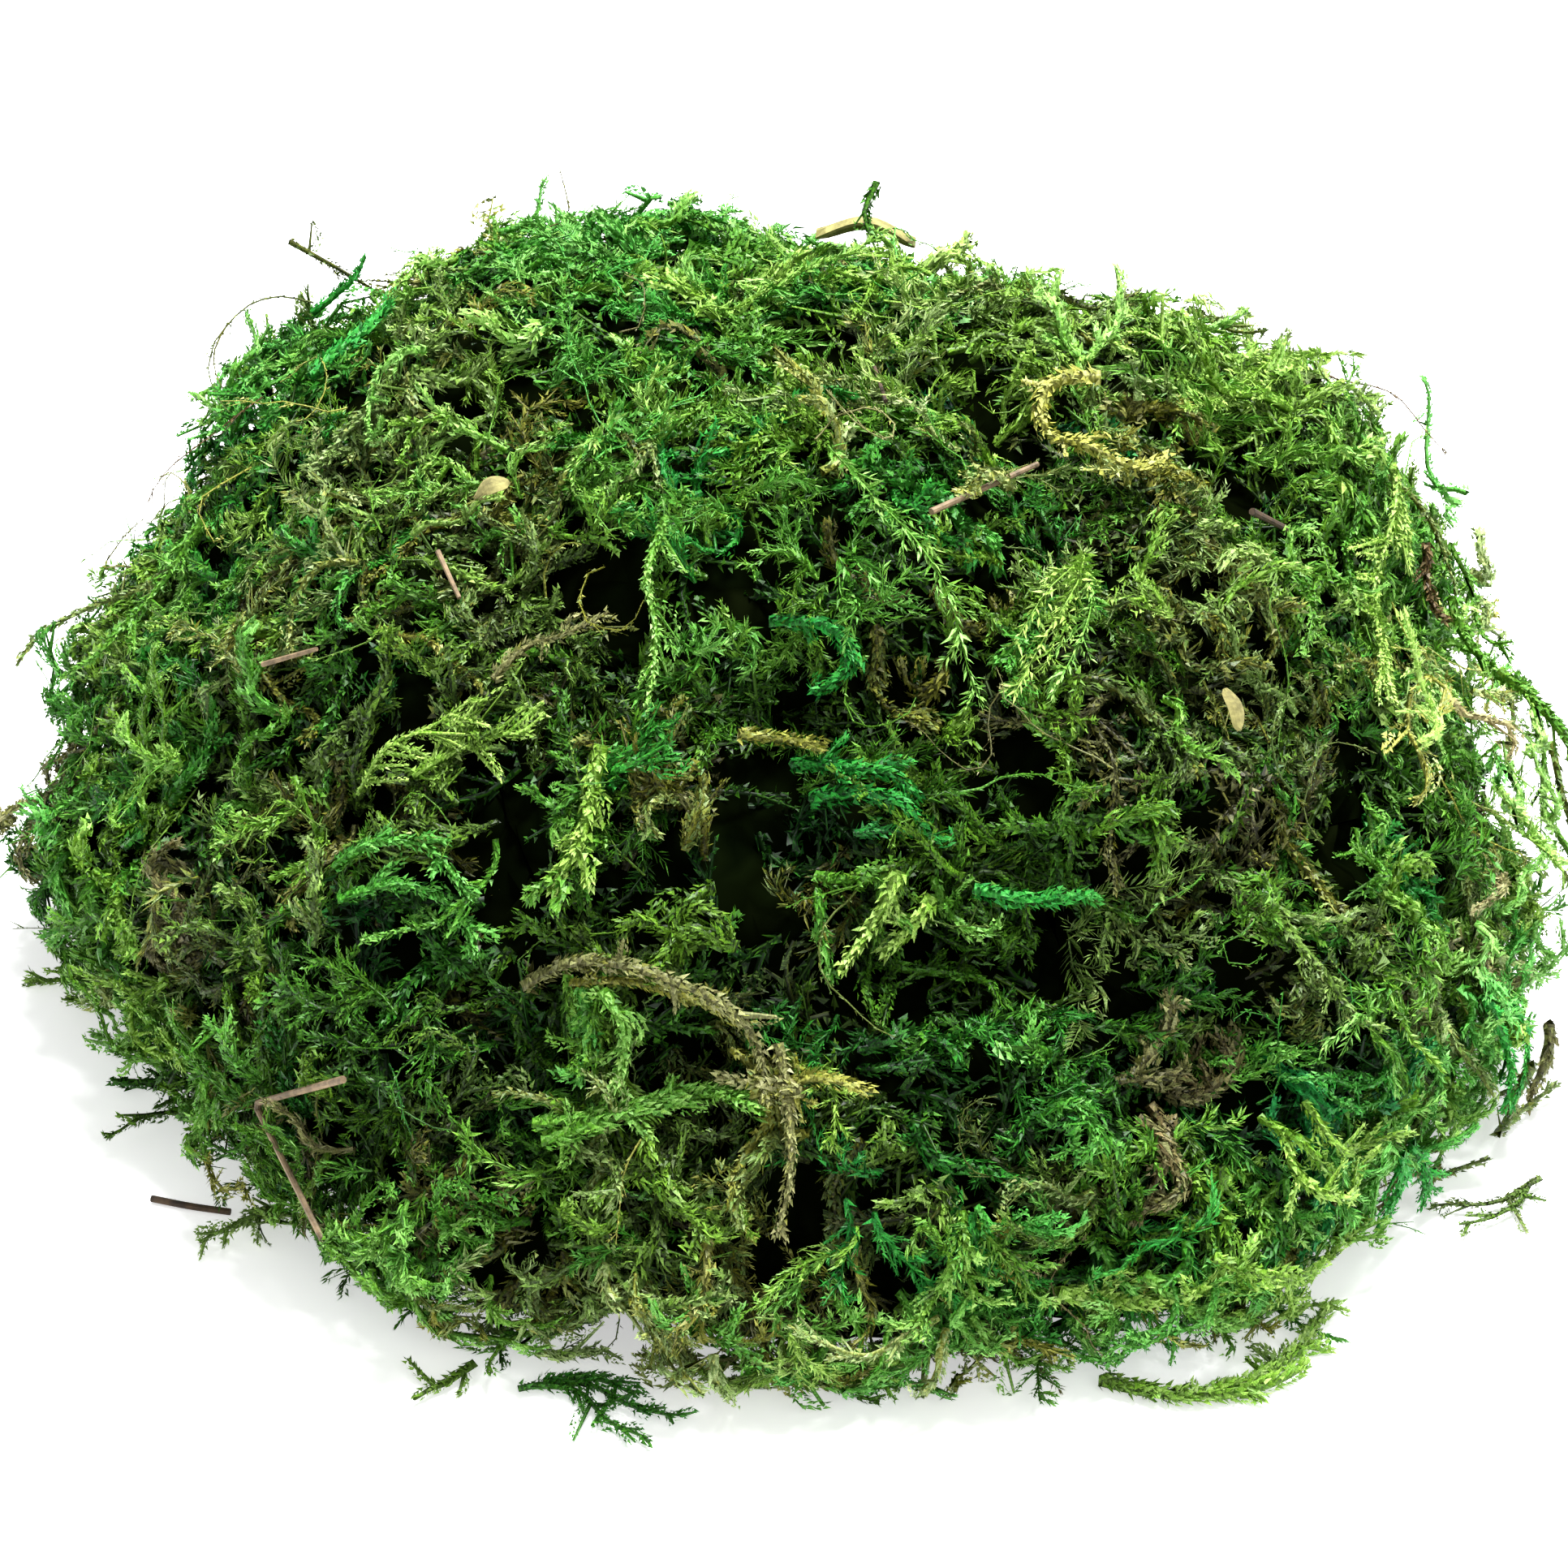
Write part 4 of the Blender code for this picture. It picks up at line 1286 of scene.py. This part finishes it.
    def grow(self, dice: np.random.Generator) -> list[tuple[int, Spray]]:
        """The clumps' shoots.

        Args:
            dice: Where chance comes from.

        Returns:
            Each shoot with the number of the tuft that it belongs to.
        """
        grown: list[tuple[int, Spray]] = []
        for way in self.centres(dice):
            hue, light, kind = self.look(way, dice)
            count = int(dice.integers(self.shoots[0], self.shoots[1] + 1))
            made = [HABITS[kind].build(dice) for _ in range(count)]
            lines, levels = self.lines(way, np.array([m[1] for m in made]), kind, dice)
            for (shape, length), line, level in zip(made, lines, levels):
                ahead = unit(np.gradient(line.points, axis=0))
                up = unit(line.normals - ahead * dot(line.normals, ahead))
                line.normals = turned(up, ahead, np.full(len(up), dice.normal(0, 0.5)))
                # painted shade and light: deeper layers and lower-lying clumps are darker, and the regions
                # add their painted light and shade
                shade = self.lightness + light + 0.03 * level + dice.normal(0, 0.06)
                laid = shape.bent(line, length, hue + dice.normal(0, 0.02), shade)
                laid.settle()
                middle = unit(line.points[len(line.points) // 2])
                grown.append((int(self.heap.owner_of(middle[None])[0]), laid))
        return grown


@dataclass
class MarkedShoots:
    """The shoots that are laid one by one."""

    heap: Heap
    steps: int = 15

    def grow(self, dice: np.random.Generator) -> list[tuple[int, Spray]]:
        """The shoots.

        Args:
            dice: Where chance comes from.

        Returns:
            Each shoot with the number of the tuft that it belongs to.
        """
        grown: list[tuple[int, Spray]] = []
        for shoot in MARKED:
            corners = ways(*np.array(shoot.route, float).T)
            share = np.linspace(0, len(corners) - 1, self.steps)
            stops = np.arange(len(corners))
            route = np.stack([np.interp(share, stops, c) for c in corners.T], axis=1)
            for _ in range(2):  # rounds the corners
                route[1:-1] = route[1:-1] * 0.5 + (route[2:] + route[:-2]) * 0.25
            way = unit(route)
            lift = shoot.lift + 0.5 * np.sin(share * 2.1 + dice.uniform(0, 6.3))
            lift += shoot.rise * (share / share[-1]) ** 1.6
            points = way * (self.heap.radius(way) + lift * MM)[:, None]
            length = float(np.linalg.norm(np.diff(points, axis=0), axis=1).sum())
            shape, _ = HABITS[shoot.kind].build(dice, length)
            line = Line(points, self.heap.normals(points))
            laid = shape.bent(line, length, float(shoot.hue), shoot.light)
            laid.settle()
            owner = self.heap.owner_of(way[len(way) // 2][None])[0]
            grown.append((int(owner), laid))
        return grown


@dataclass
class ShadeLining:
    """The lining inside a tuft, near black, seen only where its shoots leave a hole: painted shade for those
    holes. Millimetres.
    """

    heap: Heap
    depth: float = 8.0
    bumps: float = 1.1

    def lining(self, name: str, dice: np.random.Generator) -> Spray:
        """The tuft's solid drawn in below its shoots and made lumpy.

        Args:
            name: The tuft's node.
            dice: Where chance comes from.

        Returns:
            Its triangles, along the dark edge of the colour chart.
        """
        bm = bmesh.new()
        bm.from_mesh(frame["nodes"][name].data)
        bmesh.ops.remove_doubles(bm, verts=bm.verts[:], dist=0.01 * MM)
        outside = [e for e in bm.edges if min(map(self.nearness, e.verts)) > 0.9]
        bmesh.ops.subdivide_edges(bm, edges=outside, cuts=1, use_grid_fill=True)
        for vertex in bm.verts:
            near = self.nearness(vertex)
            drop = (self.depth + self.bumps * dice.normal()) * MM * min(1.0, near)
            vertex.co *= (min(1.0, near) / near) * (1 - drop / (vertex.co.length / max(near, 1.0)))
        lining = Spray.from_bmesh(bm, 0.5, LINING_EDGE / 2)
        strewn = dice.uniform(-1, 1, lining.tint.shape)
        lining.tint = lining.tint + strewn * (0.45, LINING_EDGE * 0.3)
        return lining

    def nearness(self, vertex: bmesh.types.BMVert) -> float:
        """How far out a vertex is, as a share of the way to the heap's outside."""
        return vertex.co.length / self.heap.radius(unit(np.array([vertex.co])))[0]


def piece(name: str, parts: Sequence[tuple[Spray, bpy.types.Material]]) -> bpy.types.Object:
    """Makes an object of sprays.

    Args:
        name: The piece's name.
        parts: Each spray with its material.

    Returns:
        The object, at the origin.
    """
    spray = Spray.joined([p[0] for p in parts])
    mesh = bpy.data.meshes.new(name)
    count = len(spray.faces)
    mesh.vertices.add(len(spray.points))
    mesh.vertices.foreach_set("co", spray.points.astype(np.float32).ravel())
    mesh.loops.add(count * 3)
    mesh.loops.foreach_set("vertex_index", spray.faces.astype(np.int32).ravel())
    mesh.polygons.add(count)
    mesh.polygons.foreach_set("loop_start", np.arange(count, dtype=np.int32) * 3)
    slots = np.repeat(np.arange(len(parts), dtype=np.int32), [len(p[0].faces) for p in parts])
    mesh.polygons.foreach_set("material_index", slots)
    mesh.update(calc_edges=True)
    chart = mesh.uv_layers.new(name=CHART_MAP)
    place = np.clip(spray.tint[spray.faces.ravel()], CHART_MARGIN, 1 - CHART_MARGIN)
    chart.uv.foreach_set("vector", place.astype(np.float32).ravel())
    for _, material in parts:
        mesh.materials.append(material)
    made = bpy.data.objects.new(name, mesh)
    bpy.context.scene.collection.objects.link(made)
    return made


@dataclass
class MossTufts:
    """All the tufts of the heap, each with its shoots joined in one piece."""

    heap: Heap
    moss: bpy.types.Material
    shade_black: bpy.types.Material
    seed: int = 5

    def layers(self) -> list[Clumps]:
        """Lists the layers of clumps.

        Returns:
            The layers, from the inside out, and then those of single sides of the heap.
        """
        return [
            Clumps(
                self.heap,
                count=340,
                shoots=(2, 3),
                spread=12.0,
                level=(-6.5, -3.5),
                # the undergrowth lies deepest and is set darkest, painted shade
                lightness=0.24,
                kinds=(Kind.UNDERGROWTH,),
                tip_rise=(-1.0, 1.0),
                downhill=0.0,
                elevations=(9.0, 90.0),
            ),
            Clumps(self.heap, count=400, shoots=(4, 6), spread=8.0, level=(-4.0, 0.0), lightness=0.42),
            Clumps(
                self.heap,
                count=180,
                shoots=(1, 3),
                spread=5.0,
                level=(-0.5, 1.5),
                lightness=0.55,
                tip_rise=(0.0, 6.0),
                wander=0.32,
            ),
            Clumps(  # threads
                self.heap,
                count=140,
                shoots=(1, 2),
                spread=10.0,
                level=(-1.0, 2.0),
                lightness=0.52,
                kinds=(Kind.THREAD,),
                tip_rise=(1.0, 8.0),
                wander=0.40,
            ),
            Clumps(  # the fringe that spreads over the floor in front
                self.heap,
                count=100,
                shoots=(1, 3),
                spread=7.0,
                level=(0.0, 4.5),
                lightness=0.52,
                kinds=(Kind.FINE_FROND, Kind.SCALY_FROND, Kind.CORD, Kind.PLUME, Kind.CRINKLE),
                tip_rise=(0.0, 3.0),
                downhill=3.0,
                azimuths=(-160.0, 5.0),
                elevations=(2.0, 11.0),
            ),
            Clumps(  # what has spilled over the floor past the foot
                self.heap,
                count=34,
                shoots=(1, 3),
                spread=6.0,
                level=(2.0, 7.5),
                lightness=0.50,
                kinds=(Kind.FINE_FROND, Kind.SCALY_FROND, Kind.CORD),
                tip_rise=(0.0, 3.0),
                downhill=3.0,
                azimuths=(-150.0, -20.0),
                elevations=(0.5, 4.0),
            ),
            Clumps(  # strands that hang free of the right side
                self.heap,
                count=26,
                shoots=(1, 2),
                spread=8.0,
                level=(4.0, 10.0),
                lightness=0.58,
                kinds=(Kind.CORD, Kind.ROPE, Kind.CRINKLE, Kind.THREAD, Kind.SCALY_FROND),
                tip_rise=(-2.0, 3.0),
                downhill=1.6,
                wander=0.40,
                azimuths=(-32.0, 18.0),
                elevations=(6.0, 34.0),
            ),
            Clumps(  # what closes the gaps behind
                self.heap,
                count=105,
                shoots=(2, 3),
                spread=12.0,
                level=(-5.0, -1.5),
                lightness=0.36,
                azimuths=(20.0, 180.0),
                elevations=(2.0, 48.0),
            ),
        ]

    def build(self) -> None:
        """Makes a piece for every tuft and reports it."""
        dice = np.random.default_rng(self.seed)
        shade_lining = ShadeLining(self.heap)
        linings = [shade_lining.lining(name, dice) for name in self.heap.tufts]
        shares: list[list[Spray]] = [[] for _ in self.heap.tufts]
        for layer in [*self.layers(), MarkedShoots(self.heap)]:
            grown = layer.grow(dice)
            LOG.info("%d shoots, %d triangles", len(grown), sum(len(g[1].faces) for g in grown))
            for tuft, shoot in grown:
                shares[tuft].append(shoot)
        for name, lining, shoots in zip(self.heap.tufts, linings, shares):
            ring, number = name.rsplit("_tuft_", 1)
            # the lining is near black: painted shade in the holes between the shoots
            parts = [(lining, self.shade_black), (Spray.joined(shoots), self.moss)]
            made = piece(f"{ring}_moss_{number}", parts)
            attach(made, "root")
            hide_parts(name)
            LOG.info("%s: %d shoots, %d triangles", made.name, len(shoots), len(made.data.polygons))


@dataclass(frozen=True)
class StrandLook:
    """How a strand looks: its kind of shoot, its colour, and how many shoots are matted in it."""

    kind: Kind
    hue: Hue
    light: float
    shoots: int = 1


@dataclass
class Strands:
    """Single shoots that stand off the heap or lie at its foot, along their solids' middles."""

    moss: bpy.types.Material
    seed: int = 17
    rings: int = 9
    drift: float = 5.0  # millimetres

    def middle_line(self, name: str) -> Line:
        """Finds the line down the middle of a strand's solid.

        Args:
            name: The strand's node.

        Returns:
            The line, from end to end.
        """
        mesh = frame["nodes"][name].data
        points = np.array([v.co for v in mesh.vertices])
        far = points[np.argmax(np.linalg.norm(points - points[0], axis=1))]
        end = points[np.argmax(np.linalg.norm(points - far, axis=1))]
        along = (points - far) @ (end - far)
        order = np.argsort(along)
        slices = np.array_split(points[order], self.rings)
        route = np.array([s.mean(axis=0) for s in slices])
        up = np.tile((0.0, 0.0, 1.0), (len(route), 1))
        aside = unit(end - far)
        if abs(aside[2]) > 0.6:
            up = np.tile(unit(route.mean(axis=0) * (1, 1, 0)), (len(route), 1))
        return Line(route, up)

    def shoot(
        self, line: Line, first: float, last: float, look: StrandLook, dice: np.random.Generator
    ) -> Spray:
        """One shoot of a strand.

        Args:
            line: The line down the middle of the strand's solid.
            first: Where the shoot begins, as a share of the line.
            last: Where it ends.
            look: How the strand looks.
            dice: Where chance comes from.

        Returns:
            The shoot, which drifts away from the line unless it has the line's whole length.
        """
        place, _, across, out = line.frames(np.linspace(first, last, self.rings))
        drift = dice.normal(0, self.drift) * MM * (last - first < 1.0)
        points = place + np.linspace(0.0, drift, self.rings)[:, None] * across
        length = float(np.linalg.norm(np.diff(points, axis=0), axis=1).sum())
        shape, _ = HABITS[look.kind].build(dice, length)
        laid = shape.bent(Line(points, out), length, look.hue + dice.normal(0, 0.03), look.light)
        laid.settle()
        return laid

    def build(self, looks: dict[str, StrandLook]) -> None:
        """Makes a piece for each strand and reports it.

        Args:
            looks: How each strand looks, by its node's name.
        """
        dice = np.random.default_rng(self.seed)
        for name, look in looks.items():
            line = self.middle_line(name)
            spans = [(0.0, 1.0)] + [
                (dice.uniform(0.0, 0.4), dice.uniform(0.6, 1.0)) for _ in range(look.shoots - 1)
            ]
            shoots = [self.shoot(line, first, last, look, dice) for first, last in spans]
            made = piece(f"{name}_shoot", [(Spray.joined(shoots), self.moss)])
            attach(made, "root")
            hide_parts(name)
            LOG.info("%s: %d triangles", made.name, len(made.data.polygons))


STRAND_LOOKS: dict[str, StrandLook] = {
    "upright_sprig_left": StrandLook(Kind.CORD, Hue.OLIVE, 0.36),
    "hanging_strand_left": StrandLook(Kind.THREAD, Hue.OLIVE, 0.34, 2),
    "upright_sprig_crown": StrandLook(Kind.CORD, Hue.LEAF, 0.42),
    "hanging_strand_right": StrandLook(Kind.CORD, Hue.LEAF, 0.52, 3),
    "arching_strand_back": StrandLook(Kind.CORD, Hue.LEAF, 0.5),
    "foot_sprig_front_left": StrandLook(Kind.CORD, Hue.YELLOW, 0.46),
    "foot_sprig_front": StrandLook(Kind.SCALY_FROND, Hue.GRASS, 0.40, 3),
    "foot_sprig_front_right": StrandLook(Kind.ROPE, Hue.YELLOW, 0.54, 3),
    "foot_sprig_right": StrandLook(Kind.CORD, Hue.OLIVE, 0.42, 2),
    "foot_sprig_back": StrandLook(Kind.SCALY_FROND, Hue.LEAF, 0.5),
}


@dataclass
class Litter:
    """The straws, twigs and leaf scraps, which are shown by their own solids."""

    finishes: dict[str, Fibre] = field(
        default_factory=lambda: {
            "dry_straw": STRAW,
            "dark_twig": TWIG,
            "dried_leaf_paper": PAPERY_LEAF,
        }
    )

    def dress(self) -> None:
        """Gives every solid the finish of its material slot and reports it."""
        made = {slot: finish.material() for slot, finish in self.finishes.items()}
        for part in frame["record"]["subparts"]:
            slot = part["material_slot"]
            if slot in made:
                mesh = frame["nodes"][part["node"]].data
                mesh.materials.clear()
                mesh.materials.append(made[slot])
                LOG.info("%s: %s", part["node"], slot)


@dataclass
class Studio:
    """A white table under soft light, and the camera. Metres and degrees."""

    distance: float = 0.70
    tilt: float = 31.0
    aim: tuple[float, float, float] = (-0.001, 0.0, 0.032)
    lens: float = 95.2
    floor_size: float = 6.0
    floor_drop: float = 0.0002  # keeps the floor clear of the lowest shoots
    table_glow: float = 0.50  # the table glows faintly from below
    room_light: float = 0.60

    def build(self) -> None:
        """Sets the floor, the lights and the camera."""
        self.floor()
        self.lights()
        self.camera()

    def floor(self) -> None:
        """A plain white floor, just under the heap."""
        bm = bmesh.new()
        bmesh.ops.create_grid(bm, x_segments=1, y_segments=1, size=self.floor_size / 2)
        bmesh.ops.translate(bm, vec=(0, 0, -self.floor_drop), verts=bm.verts[:])
        mesh = bpy.data.meshes.new("floor")
        bm.to_mesh(mesh)
        bm.free()
        white = bpy.data.materials.new("white_table")
        white.use_nodes = True
        shader = white.node_tree.nodes["Principled BSDF"]
        shader.inputs["Base Color"].default_value = linear("f4f4f4")
        shader.inputs["Roughness"].default_value = 0.8
        shader.inputs["Emission Color"].default_value = (1.0, 1.0, 1.0, 1.0)
        shader.inputs["Emission Strength"].default_value = self.table_glow
        mesh.materials.append(white)
        floor = bpy.data.objects.new("floor", mesh)
        bpy.context.scene.collection.objects.link(floor)

    def lamp(self, name: str, place: Vector, size: float, watts: float) -> None:
        """Adds one square soft light that faces the heap.

        Args:
            name: Its name.
            place: Where it hangs.
            size: The length of its sides.
            watts: Its power.
        """
        light = bpy.data.lights.new(name, "AREA")
        light.size = size
        light.energy = watts
        lamp = bpy.data.objects.new(name, light)
        lamp.location = place
        lamp.rotation_euler = (Vector(self.aim) - place).to_track_quat("-Z", "Y").to_euler()
        bpy.context.scene.collection.objects.link(lamp)

    def lights(self) -> None:
        """A broad light over and behind the heap, a weak one in front, and a white room."""
        self.lamp("top_softbox", Vector((0.22, 0.26, 1.35)), 0.42, 66.0)
        self.lamp("front_fill", Vector((0.6, -1.3, 1.1)), 0.9, 5.0)
        world = bpy.data.worlds.new("white_room")
        world.use_nodes = True
        sky = world.node_tree.nodes["Background"]
        sky.inputs["Color"].default_value = (1.0, 1.0, 1.0, 1.0)
        sky.inputs["Strength"].default_value = self.room_light
        bpy.context.scene.world = world

    def camera(self) -> None:
        """The camera, looking down on the heap from the front."""
        lens = bpy.data.cameras.new("camera")
        lens.lens = self.lens
        camera = bpy.data.objects.new("camera", lens)
        tilt = math.radians(self.tilt)
        aim = Vector(self.aim)
        camera.location = aim + Vector((0, -math.cos(tilt), math.sin(tilt))) * self.distance
        camera.rotation_euler = (aim - camera.location).to_track_quat("-Z", "Y").to_euler()
        bpy.context.scene.collection.objects.link(camera)
        bpy.context.scene.camera = camera
        bpy.context.scene.view_settings.view_transform = "Standard"


def write_sizes() -> None:
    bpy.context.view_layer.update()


def main() -> None:
    """Builds the heap's looks, piece by piece."""
    logging.basicConfig(level=logging.INFO, format="%(message)s")
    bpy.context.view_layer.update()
    Studio().build()
    tufts = sorted(name for name in frame["nodes"] if "_tuft_" in name)
    heap = Heap(tufts)
    moss = DyedMoss().material()
    MossTufts(heap, moss, ShadeBlack().material()).build()
    Strands(moss).build(STRAND_LOOKS)
    Litter().dress()
    shown = [o for o in bpy.data.objects if o.type == "MESH" and "_moss_" in o.name]
    LOG.info("moss triangles: %d", sum(len(o.data.polygons) for o in shown))
    write_sizes()


if __name__ == "__main__":
    main()
